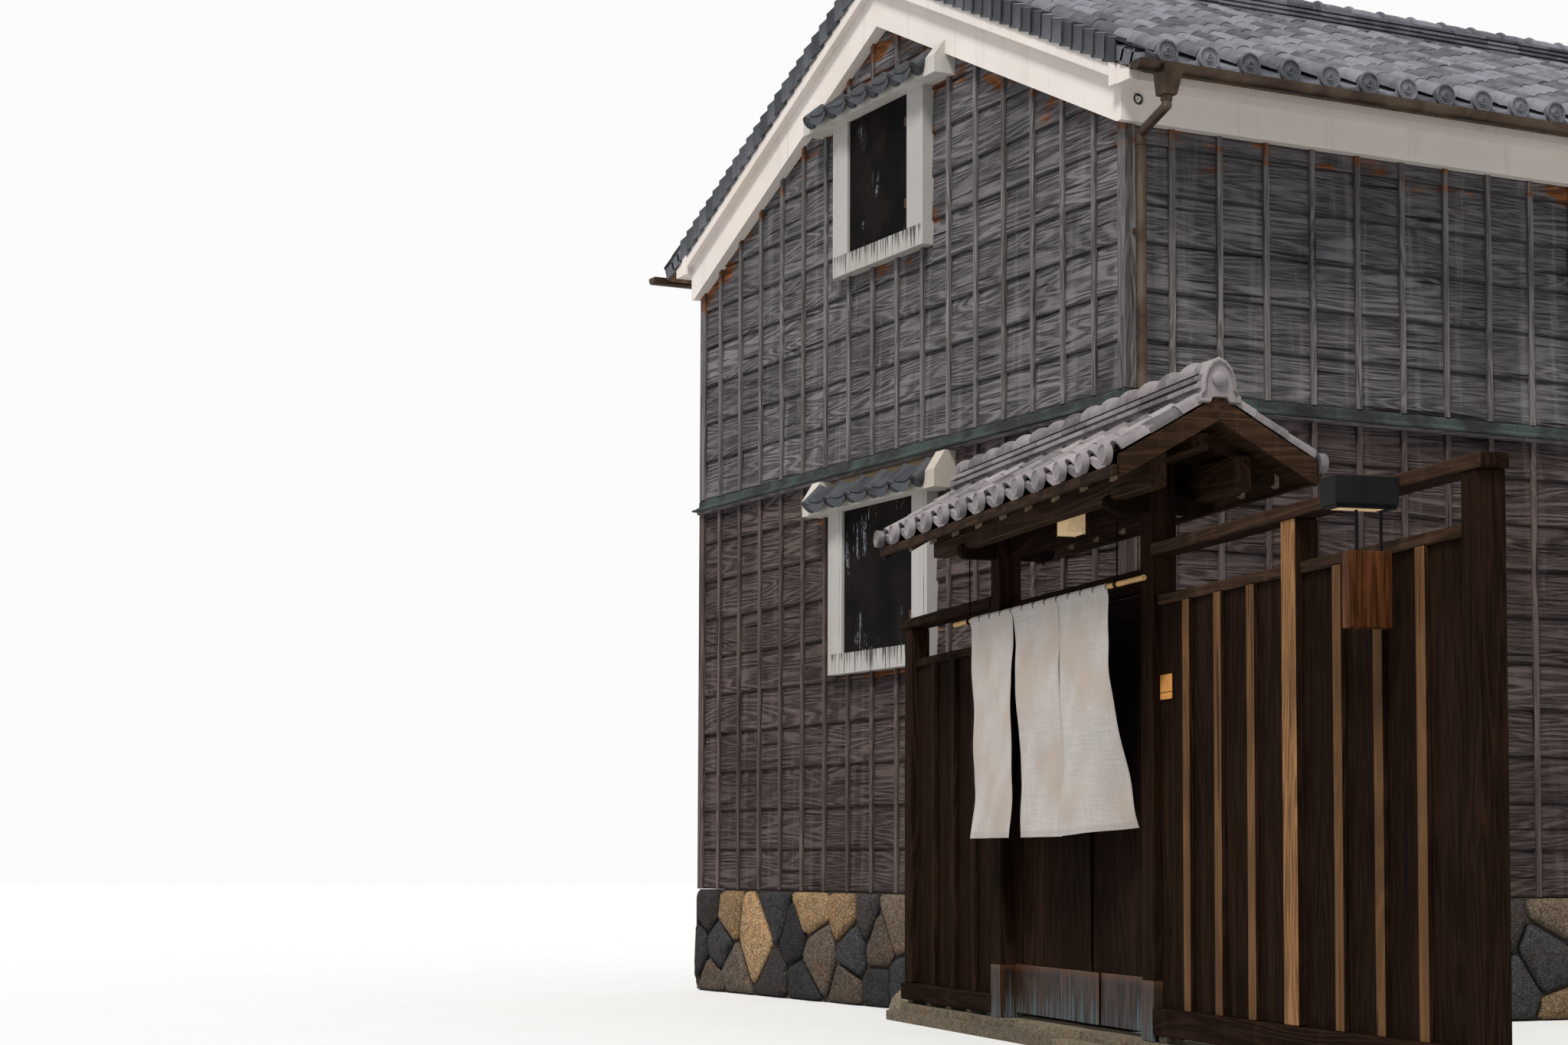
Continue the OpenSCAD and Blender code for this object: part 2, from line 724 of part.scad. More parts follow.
// A box that widens from its foot to its rim, upright on the roof's side
module widening(x0, z0, foot_w, rim_w) intersection() {
    upright(-rim_w, rim_w)
        polygon([[x0, z0], [x0 + foot_w, z0], [x0 + rim_w, hopper_top], [x0 + rim_w, hopper_top + eps],
                 [x0, hopper_top + eps]]);
    along(x0 - eps, x0 + rim_w + eps)
        polygon([[-foot_w / 2, z0], [foot_w / 2, z0], [rim_w / 2, hopper_top], [rim_w / 2, hopper_top + eps],
                 [-rim_w / 2, hopper_top + eps], [-rim_w / 2, hopper_top]]);
}

module hopper() difference() {
    widening(hopper_x, hopper_z, hopper_w * hopper_foot, hopper_w);
    widening(hopper_x + hopper_wall, hopper_z + hopper_wall, hopper_w * hopper_foot - 2 * hopper_wall,
             hopper_w - 2 * hopper_wall);
    box(hopper_x - eps, hopper_x + hopper_w + eps, -hopper_w, hopper_w, hopper_top, hopper_top + 2 * eps);
    upright(-hopper_w, hopper_w) {
        translate([gutter_x, rim_z]) circle(gutter_r + seat);
        translate([edge_x - eps, rim_z - gutter_r * 1.7]) square([hopper_wall + 2 * eps, gutter_r * 1.7]);
    }
}

module collar(z) translate([0, 0, z]) cylinder(r = pipe_r + 5, h = 26, $fn = 12);

module downpipe() color("#5a4a44") {
    hopper();
    neck = [hopper_x + hopper_w * hopper_foot / 2, 0, offset_top];
    translate(neck) {
        cylinder(r = pipe_r, h = hopper_z - offset_top + 3);
        sphere(pipe_r + 2, $fn = 12);
    }
    translate([neck[0], neck[1], 0]) collar(hopper_z - 26);
    leg(neck, [pipe_x, pipe_y, offset_low], pipe_r);
    translate([pipe_x, pipe_y, offset_low]) sphere(pipe_r + 2, $fn = 12);
    translate([pipe_x, pipe_y, 0]) collar(offset_low - 70);
    difference() {
        translate([pipe_x, pipe_y, pipe_foot]) cylinder(r = pipe_r, h = offset_low - pipe_foot);
        translate([pipe_x, pipe_y, pipe_foot - eps])
            cylinder(r = pipe_r - gutter_wall, h = offset_low - bore_end);
    }
    for (z = [strap_low, strap_high])
        box(hw, pipe_x - pipe_r + 1, pipe_y - strap_t, pipe_y + strap_t, z, z + strap_h);
}

// Frame of the street fence: x along it, y behind the posts' faces
module street() translate([fence_x, -fence_y, 0]) rotate([0, 0, -fence_angle]) children();

gate_a = post_w + bay_left;
gate_b = gate_a + gate_post_w;
gate_c = gate_b + gate_w;
gate_d = gate_c + gate_post_w;
gate_mid = (gate_b + gate_c) / 2;
mid_u = gate_d + bay_mid;
end_u = mid_u + post_w + bay_end;
fence_l = end_u + post_w;
gate_v = gate_post_d / 2;
sill_left_z = curb_h + gap_left;
sill_right_z = curb_h + gap_right;
left_top = sill_left_z + sill_left_h;
right_top = sill_right_z + sill_right_h;

// Granite curb with pads, and the rounded guard stone between it and the plinth
stone_x = fence_x - 79;
module pads(u0, u1, z) for (i = [0:4])
    box(u0 + 20 + i * (u1 - u0 - 140) / 4, u0 + 120 + i * (u1 - u0 - 140) / 4, 10, 100, curb_h - eps, z);

module street_stones() color("#a89a82") {
    difference() {
        street() box(-guard_w, fence_l + 20, -90, gate_post_d + 80, 0, curb_h);
        box(stone_x - 2 * guard_w, stone_x, -2 * fence_y, fence_y, -eps, curb_h + eps);
    }
    street() pads(0, gate_a, sill_left_z);
    street() pads(gate_d, fence_l, sill_right_z);
    upright(-fence_y - 79, -plinth_proud) difference() {
        union() {
            translate([stone_x - guard_w + guard_r, guard_h - guard_r]) circle(guard_r);
            translate([stone_x - guard_w + guard_r, 0]) square([guard_w - guard_r, guard_h]);
            translate([stone_x - guard_w, 0]) square([guard_w, guard_h - guard_r]);
        }
        translate([stone_x - 2 * guard_w, -2 * guard_h]) square([3 * guard_w, 2 * guard_h]);
    }
}

module fence_sills() color("#5d4230") street() {
    box(-40, gate_a, -10, post_d, sill_left_z, left_top);
    box(gate_d, fence_l, -10, post_d, sill_right_z, right_top);
}

module fence_posts() color("#6b4b33") street() {
    box(0, post_w, 0, post_d, left_top, fence_top - beam_h);
    for (u = [mid_u, end_u])
        box(u, u + post_w, 0, post_d, right_top, fence_top + fence_step - beam_h);
}

module fence_beams() color("#6b4b33") street() {
    box(-80, gate_a, -10, post_d, fence_top - beam_h, fence_top);
    box(gate_d, fence_l + 30, -10, post_d, fence_top + fence_step - beam_h, fence_top + fence_step);
    box(post_w, gate_a, 25, 90, rail_top - rail_h, rail_top);
    for (bay = [[gate_d, mid_u], [mid_u + post_w, end_u]])
        box(bay[0], bay[1], 25, 90, rail_top + fence_step - rail_h, rail_top + fence_step);
}

module bay_boards(u0, u1, z0, z1) {
    box(u0, u1, fence_board_v, fence_board_v + fence_board_t, z0, z1);
    for (i = [1:3])
        box(u0 + i * (u1 - u0) / 4 - fence_batten_w / 2, u0 + i * (u1 - u0) / 4 + fence_batten_w / 2,
            fence_board_v - fence_batten_t, fence_board_v, z0, z1);
}

module fence_boards() color("#3a2c26") street() {
    bay_boards(post_w, gate_a, left_top, rail_top - rail_h);
    bay_boards(gate_d, mid_u, right_top, rail_top + fence_step - rail_h);
    bay_boards(mid_u + post_w, end_u, right_top, rail_top + fence_step - rail_h);
}

// Gate frame: posts, door head, lintel, and arms through the posts
purlin_z = arm_z + arm_h - notch_h;
rafter_low = purlin_z + purlin_h - (rafter_run - purlin_out - purlin_w / 2) * gate_pitch;
rafter_top = rafter_low + rafter_run * gate_pitch;
beam_half = 40;
ridge_beam_z = rafter_top - beam_half * gate_pitch - 58;

module arm_hole(u) box(u + gate_post_w / 2 - arm_t / 2, u + gate_post_w / 2 + arm_t / 2,
                       -eps, gate_post_d + eps, arm_z, arm_z + arm_h);

module gate_posts() color("#4a3527") street() difference() {
    for (u = [gate_a, gate_c]) box(u, u + gate_post_w, 0, gate_post_d, curb_h, ridge_beam_z);
    arm_hole(gate_a);
    arm_hole(gate_c);
}

module gate_beams() color("#4a3527") street() {
    box(gate_b, gate_c, 50, gate_post_d - 5, head_z, head_z + head_h);
    box(gate_b, gate_c, 60, gate_post_d, lintel_z, lintel_z + lintel_h);
}

module arm(u) {
    tip = arm_h / 2;
    along(u + gate_post_w / 2 - arm_t / 2, u + gate_post_w / 2 + arm_t / 2) difference() {
        union() {
            translate([gate_v - arm_l / 2 + tip, arm_z]) square([arm_l - 2 * tip, arm_h]);
            for (s = [-1, 1]) translate([gate_v + s * (arm_l / 2 - tip), arm_z + tip]) circle(tip);
        }
        for (s = [-1, 1]) translate([gate_v + s * purlin_out - purlin_w / 2, purlin_z])
            square([purlin_w, arm_h]);
    }
}

module gate_arms() color("#4a3527") street() for (u = [gate_a, gate_c]) arm(u);

purlin_a = gate_a - gate_verge + 197;
purlin_b = gate_d + gate_verge - 197;
module purlin_outline() for (s = [0, 1]) translate([gate_v, 0]) mirror([s, 0])
    polygon([[purlin_out - purlin_w / 2, purlin_z], [purlin_out + purlin_w / 2, purlin_z],
             [purlin_out + purlin_w / 2, purlin_z + purlin_h],
             [purlin_out - purlin_w / 2, purlin_z + purlin_h + purlin_w * gate_pitch]]);

module gate_purlins() color("#5a3b26") street() {
    along(purlin_a, purlin_b) purlin_outline();
    along(purlin_a, purlin_b) translate([gate_v, 0])
        polygon([[-beam_half, ridge_beam_z], [beam_half, ridge_beam_z],
                 [beam_half, rafter_top - beam_half * gate_pitch], [0, rafter_top],
                 [-beam_half, rafter_top - beam_half * gate_pitch]]);
}

rafter_count = floor((purlin_b - purlin_a - rafter_w) / rafter_gap);
module gate_rafters() color("#5a3b26") street() for (i = [0:rafter_count])
    translate([gate_mid + (i - rafter_count / 2) * rafter_gap, 0, 0])
        along(-rafter_w / 2, rafter_w / 2) translate([gate_v, 0])
            polygon([[0, rafter_top], [rafter_run, rafter_low], [rafter_run, rafter_low + rafter_h],
                     [0, rafter_top + rafter_h], [-rafter_run, rafter_low + rafter_h],
                     [-rafter_run, rafter_low]]);

// Gate roof: boards and tiles with a raised eave, and a small layered ridge
roof_low = rafter_top + rafter_h;
roof_top = roof_low + gate_tile_t;
board_run = gate_eave_run - 30;
gate_eave_top = roof_top - gate_eave_run * gate_pitch;
roof_a = gate_a - gate_verge;
roof_b = gate_d + gate_verge;

gate_bed_top = roof_top - gate_roll_h;
eave_lap = 8;
bed_run = gate_eave_run - eave_lap;
gate_bed_eave = gate_bed_top - bed_run * gate_pitch;
gate_columns = round((roof_b - roof_a - 2 * gate_roll_in) / tile_column);
gate_roll_n = gate_roll_h * cos(atan(gate_pitch)) - gate_roll_r;
eave_face = 28;
gate_disc_l = 50;

module gate_slope() rotate([0, 0, -90]) {
    down_slope(gate_pitch, gate_ridge_w / 2 + sunk, gate_eave_run - round_cover, gate_roll_n + gate_roll_r)
        tile_section(roof_a + eps, roof_b - eps, roof_a + gate_roll_in, roof_b - gate_roll_in,
                     gate_columns, gate_roll_n, gate_roll_r, gate_roll_n);
    round_ends(roof_a + gate_roll_in, roof_b - gate_roll_in, gate_columns, gate_eave_run - gate_disc_l,
               gate_eave_top - gate_bed_top - gate_roll_r, gate_roll_r, gate_disc_l);
}

module gate_roof() color("#9a9794") street() {
    along(roof_a, roof_b) translate([gate_v, 0])
        polygon([[0, roof_low], [board_run, roof_low - board_run * gate_pitch],
                 [board_run, gate_bed_eave - eave_face], [bed_run, gate_bed_eave - eave_face],
                 [bed_run, gate_bed_eave], [0, gate_bed_top], [-bed_run, gate_bed_eave],
                 [-bed_run, gate_bed_eave - eave_face], [-board_run, gate_bed_eave - eave_face],
                 [-board_run, roof_low - board_run * gate_pitch]]);
    for (side = [0, 1]) translate([0, gate_v, gate_bed_top]) mirror([0, side, 0]) gate_slope();
}

ridge_out = 20;
cap_sunk = 8;
collar_step = 240;
collar_l = 36;
collar_lean = 14;
gate_end_t = 70;
gate_end_share = 0.86;

module gate_ridge() color("#9a9794") street() translate([0, gate_v, 0]) difference() {
    foot = roof_top - gate_ridge_w / 2 * gate_pitch;
    bed = gate_bed_top - gate_ridge_w / 2 * gate_pitch;
    cap_z = foot + 2 * gate_course_h + gate_cap_r - cap_sunk;
    collars = round((roof_b - roof_a) / collar_step);
    union() {
        along(roof_a - ridge_out, roof_b + ridge_out) {
            translate([-gate_ridge_w / 2 + 12, bed]) square([gate_ridge_w - 24, foot - bed + eps]);
            for (i = [0, 1]) translate([-gate_ridge_w / 2 + i * 10, foot + i * gate_course_h])
                square([gate_ridge_w - 20 * i, gate_course_h + (i < 1 ? eps : 0)]);
            translate([0, cap_z]) rotate(15) circle(gate_cap_r - cap_sunk, $fn = 12);
        }
        for (i = [1:collars - 1]) translate([place(i, roof_a, roof_b, collars), 0, cap_z])
            rotate([0, 90, collar_lean])
            rotate([0, 0, 15]) cylinder(r = gate_cap_r, h = collar_l, center = true, $fn = 12);
        for (u = [roof_a - ridge_out, roof_b + ridge_out - gate_end_t])
            translate([u, 0, bed]) rotate([0, 0, 90])
                ridge_end(gate_ridge_w * gate_end_share, cap_z + gate_cap_r - bed, -gate_end_t, 0);
    }
    along(roof_a - 90, roof_b + 90)
        polygon([[-bed_run, gate_bed_eave], [0, gate_bed_top], [bed_run, gate_bed_eave],
                 [bed_run, 0], [-bed_run, 0]]);
}

// Two leaves that swing inward on pins behind the posts
leaf_w = (gate_w - 2 * leaf_gap - meet_gap) / 2;
leaf_z = curb_h + leaf_lift;
leaf_top = head_z - leaf_head_gap;
leaf_v = gate_post_d - leaf_t;
axis_u = gate_b + 2;
axis_v = gate_post_d + 20;
eye_h = 40;
eye_r = pin_r + 5;
hinge_low = 260;
hinge_high = 300;
hinge_z = [leaf_z + hinge_low, leaf_top - hinge_high];

module other_side() translate([2 * gate_mid, 0, 0]) mirror([1, 0, 0]) children();

module pintles() for (z = hinge_z) {
    translate([axis_u, axis_v, z - 30]) cylinder(r = eye_r, h = 30 - seat);
    translate([axis_u, axis_v, z - 30]) cylinder(r = pin_r, h = 30 + eye_h);
    box(gate_b - 60, axis_u, gate_post_d, gate_post_d + 26, z - 30, z - seat);
}

module gate_pintles() color("#2a2725") street() {
    pintles();
    other_side() pintles();
}

module leaf() {
    u0 = gate_b + leaf_gap;
    skin = 8;
    difference() {
        box(u0, u0 + leaf_w, leaf_v, gate_post_d, leaf_z, leaf_top);
        box(u0 + stile_w, u0 + leaf_w - stile_w, leaf_v - eps, leaf_v + skin,
            leaf_z + leaf_rail_h, leaf_top - leaf_rail_h);
        box(u0 + stile_w, u0 + leaf_w - stile_w, gate_post_d - skin, gate_post_d + eps,
            leaf_z + leaf_rail_h, leaf_top - leaf_rail_h);
    }
    for (z = hinge_z) difference() {
        union() {
            translate([axis_u, axis_v, z]) cylinder(r = eye_r, h = eye_h);
            box(u0, u0 + 330, gate_post_d, gate_post_d + 12, z, z + eye_h);
        }
        translate([axis_u, axis_v, z - eps]) cylinder(r = pin_r + 0.05, h = eye_h + 2 * eps);
    }
}

module gate_leaf_left() color("#33261f") street() leaf();
module gate_leaf_right() color("#33261f") street() {
    other_side() leaf();
    box(gate_mid + meet_gap / 2, gate_mid + meet_gap / 2 + 120, leaf_v - 10, leaf_v, leaf_z, leaf_top);
}

// Door curtain on a bamboo rod hung from the two arms by cords
rod_v = gate_v - purlin_out;
cord_r = 4;
module curtain_rod() color("#b98a4b") street() {
    along(gate_mid - rod_l / 2 + 40, gate_mid + rod_l / 2 + 40)
        translate([rod_v, rod_z]) circle(rod_r);
    for (u = [gate_a, gate_c]) translate([u + gate_post_w / 2, rod_v, rod_z])
        cylinder(r = cord_r, h = arm_z - rod_z, $fn = 12);
}

cloth_u = gate_mid - 30;
module curtain_cloth() color("#c9c0b6") street() difference() {
    union() {
        box(cloth_u - cloth_w / 2, cloth_u + cloth_w / 2, rod_v - cloth_t / 2, rod_v + cloth_t / 2,
            rod_z - cloth_h, rod_z);
        along(cloth_u - cloth_w / 2, cloth_u + cloth_w / 2) translate([rod_v, rod_z]) circle(rod_r + 4);
    }
    along(cloth_u - cloth_w, cloth_u + cloth_w) translate([rod_v, rod_z]) circle(rod_r + 0.1);
}

// Lantern on the lintel and the lamp that projects from the fence
module lantern() color("#e6c98f") street()
    box(gate_mid + 52 - lantern_w / 2, gate_mid + 52 + lantern_w / 2, 60 - lantern_d, 60,
        lintel_z + 5, lintel_z + 5 + lantern_h);

lamp_u = end_u - 500;
module sign_lamp() color("#1d1d1f") street()
    box(lamp_u - lamp_w / 2, lamp_u + lamp_w / 2, -10 - lamp_l, -10,
        fence_top + 70 - lamp_h, fence_top + 70);

stone_plinth();
ground_floor();
upper_floor();
front_wall();
back_wall();
left_wall();
right_wall();
front_cladding();
back_cladding();
left_cladding();
right_cladding();
drip_band();
front_gable_plaster();
back_gable_plaster();
left_eave_plaster();
right_eave_plaster();
roof_left();
roof_right();
verge_tiles();
roof_ridge();
upper_window_surround();
upper_window_canopy();
upper_window_shutter();
lower_window_surround();
lower_window_canopy();
lower_window_shutter();
back_window_surrounds();
back_window_canopies();
back_window_shutters();
yard_door_surround();
yard_door();
yard_step();
gutter_left();
gutter_right();
downpipe();
street_stones();
fence_sills();
fence_posts();
fence_beams();
fence_boards();
gate_posts();
gate_beams();
gate_arms();
gate_purlins();
gate_rafters();
gate_roof();
gate_ridge();
gate_pintles();
gate_leaf_left();
gate_leaf_right();
curtain_rod();
curtain_cloth();
lantern();
sign_lamp();
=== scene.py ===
import json
import math
import random

import bmesh
import bpy
from mathutils import Matrix, Vector, noise


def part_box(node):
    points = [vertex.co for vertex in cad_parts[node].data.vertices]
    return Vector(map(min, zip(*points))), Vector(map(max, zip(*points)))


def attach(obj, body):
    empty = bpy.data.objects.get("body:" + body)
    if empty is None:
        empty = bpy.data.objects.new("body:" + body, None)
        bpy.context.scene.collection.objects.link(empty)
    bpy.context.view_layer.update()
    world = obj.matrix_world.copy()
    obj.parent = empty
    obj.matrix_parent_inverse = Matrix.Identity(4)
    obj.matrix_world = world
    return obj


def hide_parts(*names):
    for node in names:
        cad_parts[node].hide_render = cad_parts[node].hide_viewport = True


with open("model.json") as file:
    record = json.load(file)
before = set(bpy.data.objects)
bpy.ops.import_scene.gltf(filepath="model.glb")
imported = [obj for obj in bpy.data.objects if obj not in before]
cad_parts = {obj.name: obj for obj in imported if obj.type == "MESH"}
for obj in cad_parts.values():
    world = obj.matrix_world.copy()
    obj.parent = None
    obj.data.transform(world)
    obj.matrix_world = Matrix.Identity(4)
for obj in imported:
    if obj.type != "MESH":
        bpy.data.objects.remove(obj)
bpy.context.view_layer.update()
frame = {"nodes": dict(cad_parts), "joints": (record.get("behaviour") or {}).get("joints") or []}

bl_info = {
    "name": "Machiya townhouse",
    "version": (1, 0, 0),
    "blender": (4, 5, 0),
    "location": "View3D > Sidebar > Townhouse",
    "description": "Dresses a boarded townhouse and its street gate with boards, tiles, plaster and stone",
    "category": "Object",
}

# Directions that are used all over
RIGHT = Vector((1, 0, 0))
BACK = Vector((0, 1, 0))
UP = Vector((0, 0, 1))

# The house's main sizes, read from the frame
HOUSE = "house"
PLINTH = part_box("stone_plinth")
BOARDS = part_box("front_cladding")
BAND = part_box("drip_band")
HALF = BOARDS[1].x
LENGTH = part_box("back_cladding")[1].y
PLINTH_TOP = PLINTH[1].z
WALL_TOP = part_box("right_cladding")[1].z
APEX = BOARDS[1].z
PITCH = (APEX - WALL_TOP) / HALF
BAND_LOW, BAND_TOP = BAND[0].z, BAND[1].z
BATTEN_DEPTH = 0.03
CORNER_W = 0.075
SILL_H = 0.13
# Where the boards' rear faces lie, and what counts as touching when strips are cut to length
REAR = -0.048
TOUCH = 0.004
# Roofs: the slope's cosine, how far the last rolls stand in from the gables, and the gate roof's slope
COS_PITCH = math.cos(math.atan(PITCH))
VERGE_ROLL = 0.022
GATE_PITCH = 0.58

# The street fence stands in its own turned frame, which the two gate hinges give
HINGES = [Vector(j["pos_m"]) for j in frame["joints"]]
STREET_TURN = math.atan2(HINGES[1].y - HINGES[0].y, HINGES[1].x - HINGES[0].x)
HINGE_PLACE = Vector((1.637, 0.14, 0))
TURN = Matrix.Rotation(STREET_TURN, 4, "Z")
STREET = Matrix.Translation(Vector((HINGES[0].x, HINGES[0].y, 0)) - TURN @ HINGE_PLACE) @ TURN
TO_STREET = STREET.inverted()


def span(points):
    """Lowest and highest corner of the box round some points."""
    return tuple(Vector([pick(p[i] for p in points) for i in range(3)]) for pick in (min, max))


def street_box(node):
    """Lowest and highest corner of a node, measured along the fence, in metres."""
    return span([TO_STREET @ v.co for v in frame["nodes"][node].data.vertices])


def metres(name, description, default, low, high):
    """A length that a user may change."""
    return bpy.props.FloatProperty(
        name=name, description=description, default=default, min=low, max=high, unit="LENGTH")


class SidingSizes(bpy.types.PropertyGroup):
    exposure: metres("Exposure", "Height of a board that shows below the next one", 0.27, 0.12, 0.4)
    batten_w: metres("Batten width", "Width of the battens over the boards", 0.036, 0.02, 0.06)
    gable_bays: bpy.props.IntProperty(
        name="Gable bays", description="Bays between the battens of a gable", default=17, min=8, max=30)
    lap: metres("Lap", "How far a board's foot stands in front of the board below", 0.014, 0.004, 0.025)


class TileSizes(bpy.types.PropertyGroup):
    column: metres("Column", "Spacing of the tile rolls", 0.27, 0.2, 0.36)
    course: metres("Course", "Length of a tile that shows below the next one", 0.235, 0.15, 0.35)
    roll_r: metres("Roll radius", "Radius of a round tile on the house", 0.064, 0.03, 0.09)
    small_r: metres("Small roll radius", "Radius of a round tile on gate and canopies", 0.05, 0.03, 0.07)


class StoneSizes(bpy.types.PropertyGroup):
    block: metres("Stone", "Usual width of a fieldstone in the plinth", 0.47, 0.15, 0.7)
    joint: metres("Joint", "Gap between two fieldstones", 0.01, 0.002, 0.03)
    curb: metres("Curb stone", "Usual length of a granite curb stone", 0.92, 0.4, 1.5)


def colour(name, description, value):
    """A colour that a user may change."""
    return bpy.props.FloatVectorProperty(
        name=name, description=description, default=value, min=0, max=1, size=3, subtype="COLOR")


class Colours(bpy.types.PropertyGroup):
    boards: colour("Upper boards", "Weathered grey of the upper storey", (0.135, 0.126, 0.131))
    low_boards: colour("Lower boards", "Browner grey of the ground storey", (0.08, 0.061, 0.056))
    fresh: colour("Sheltered wood", "Orange brown of wood in the shelter", (0.25, 0.095, 0.035))
    battens: colour("Battens", "Grey of the battens and corner boards", (0.15, 0.138, 0.136))
    plaster: colour("Plaster", "Lime plaster under the roof", (0.8, 0.735, 0.69))
    surround: colour("Window plaster", "Lime plaster round the windows", (0.45, 0.43, 0.41))
    tile: colour("Tiles", "Smoked clay of the roof tiles", (0.135, 0.14, 0.158))
    gate_tile: colour("Gate tiles", "Older and paler tiles of the gate", (0.2, 0.18, 0.18))
    shutter: colour("Shutters", "Black lime of the shutters", (0.0055, 0.005, 0.005))
    dark_stone: colour("Dark stone", "Blue grey fieldstone", (0.03, 0.03, 0.033))
    warm_stone: colour("Warm stone", "Ochre granite fieldstone", (0.245, 0.165, 0.092))
    curb: colour("Curb stone", "Pale granite of the curb", (0.15, 0.126, 0.092))
    copper: colour("Copper", "Greenish copper of the drip band", (0.04, 0.046, 0.04))
    gutter: colour("Gutter", "Brown copper of the gutters and the pipe", (0.105, 0.07, 0.05))
    dark_wood: colour("Dark wood", "Near black wood of the gate and the fence", (0.018, 0.0092, 0.0056))
    # Painted sunlight: the brown of the lit street faces on the right of the fence
    brown_wood: colour("Brown wood", "Street faces of posts and battens on the right", (0.25, 0.125, 0.052))
    gate_wood: colour("Gate wood", "Dark brown boards and purlins of the gate roof", (0.042, 0.022, 0.012))
    verdigris: colour("Verdigris", "Pale blue green runs on the kick plates", (0.12, 0.16, 0.175))
    linen: colour("Linen", "Cloth of the door curtain", (0.47, 0.43, 0.405))
    bamboo: colour("Bamboo", "Curtain rod", (0.5, 0.3, 0.12))
    plate: colour("Plate", "Bare name plate on the fence", (0.6, 0.265, 0.07))


class StageSettings(bpy.types.PropertyGroup):
    floor: colour("Floor", "Pale floor and backdrop", (0.82, 0.82, 0.81))
    sky: bpy.props.FloatProperty(
        name="Sky", description="Strength of the even light from all sides", default=0.56, min=0, max=3)
    sun: bpy.props.FloatProperty(
        name="Key lamp", description="Strength of the soft key lamp", default=2.9, min=0, max=10)
    focal: bpy.props.FloatProperty(
        name="Focal length", description="For a 36 mm wide picture", default=64.71, min=20, max=200)
    eye: bpy.props.FloatVectorProperty(
        name="Eye", description="Where the camera stands", default=(15.3747, -8.391, 0.8857), subtype="XYZ")
    yaw: bpy.props.FloatProperty(
        name="Yaw", description="How far the view turns off the gable's line", default=math.radians(26.616),
        subtype="ANGLE")
    tilt: bpy.props.FloatProperty(
        name="Tilt", description="How far the camera looks up", default=math.radians(3.747), subtype="ANGLE")
    roll: bpy.props.FloatProperty(
        name="Roll", description="How far the camera leans", default=math.radians(0.218), subtype="ANGLE")
    shift: bpy.props.FloatProperty(
        name="Shift", description="Upward shift of the lens", default=0.1, min=0, max=0.2)


SETTINGS = {
    "townhouse_siding": SidingSizes,
    "townhouse_tiles": TileSizes,
    "townhouse_stones": StoneSizes,
    "townhouse_colours": Colours,
    "townhouse_stage": StageSettings,
}


def setting(group):
    """One of the settings groups of the scene, by the last word of its name."""
    return getattr(bpy.context.scene, "townhouse_" + group)


def pairs(items):
    """Each item with the one after it."""
    return list(zip(items[:-1], items[1:]))


def even_places(first, last, spacing):
    """Evenly spaced places with about the wished spacing."""
    count = max(1, round((last - first) / spacing))
    return [first + (last - first) * k / count for k in range(count + 1)]


def wavy(*at):
    """A smooth wave without a pattern, always the same at the same place."""
    return noise.noise(Vector(at))


def circle(centre, a, b, radius, count):
    """Points on a circle that starts in direction a and turns towards b."""
    turns = (2 * math.pi * k / count for k in range(count))
    return [centre + (a * math.cos(t) + b * math.sin(t)) * radius for t in turns]


def rectangle(x0, y0, x1, y1):
    """The corners of a rectangle, as pairs of numbers in turn."""
    return (x0, y0), (x1, y0), (x1, y1), (x0, y1)


def placed(name, data):
    """A new object in the scene."""
    made = bpy.data.objects.new(name, data)
    bpy.context.scene.collection.objects.link(made)
    return made


class Shape:
    """The faces of one piece. Its points hold grain, tone and edge values, and more where a finish asks."""

    def __init__(self, seed=1):
        self.points, self.grain = [], []
        self.values = {"tone": [], "edge": []}
        self.faces, self.mats = [], []
        self.random = random.Random(seed)

    def add(self, points, faces, tone=0.5, along=RIGHT, across=None, edge=None, mat=0):
        """Adds one closed part. Its grain runs along the given direction, from a place of its own."""
        first = len(self.points)
        along = Vector(along).normalized()
        side = Vector(across) if across else (UP if abs(along.z) < 0.7 else RIGHT)
        side = (side - along * side.dot(along)).normalized()
        third = along.cross(side)
        shift = Vector([self.random.uniform(0, 40) for _ in range(3)])
        for p in points:
            p = Vector(p)
            self.points.append(p)
            self.grain.append(Vector((p.dot(along), p.dot(side), p.dot(third))) + shift)
        self.values["tone"] += [tone] * len(points)
        self.values["edge"] += edge or [0.5] * len(points)
        self.faces += [tuple(first + i for i in f) for f in faces]
        self.mats += [mat] * len(faces)

    def object(self, name, materials, body=HOUSE, smooth=None, place=None, slot=None):
        """Makes the piece, and sets it riding on its body."""
        mesh = bpy.data.meshes.new(name)
        mesh.from_pydata([place @ p for p in self.points] if place else self.points, [], self.faces)
        for label, values in self.values.items():
            mesh.attributes.new(label, "FLOAT", "POINT").data.foreach_set("value", values)
        flat = [c for g in self.grain for c in g]
        mesh.attributes.new("grain", "FLOAT_VECTOR", "POINT").data.foreach_set("vector", flat)
        for material in materials:
            mesh.materials.append(material)
        mesh.polygons.foreach_set("material_index", self.mats)
        work = bmesh.new()
        work.from_mesh(mesh)
        bmesh.ops.recalc_face_normals(work, faces=work.faces)
        work.to_mesh(mesh)
        work.free()
        made = placed(name, mesh)
        if smooth:
            mesh.shade_smooth()
            mesh.set_sharp_from_angle(angle=math.radians(smooth))
        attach(made, body)
        return made


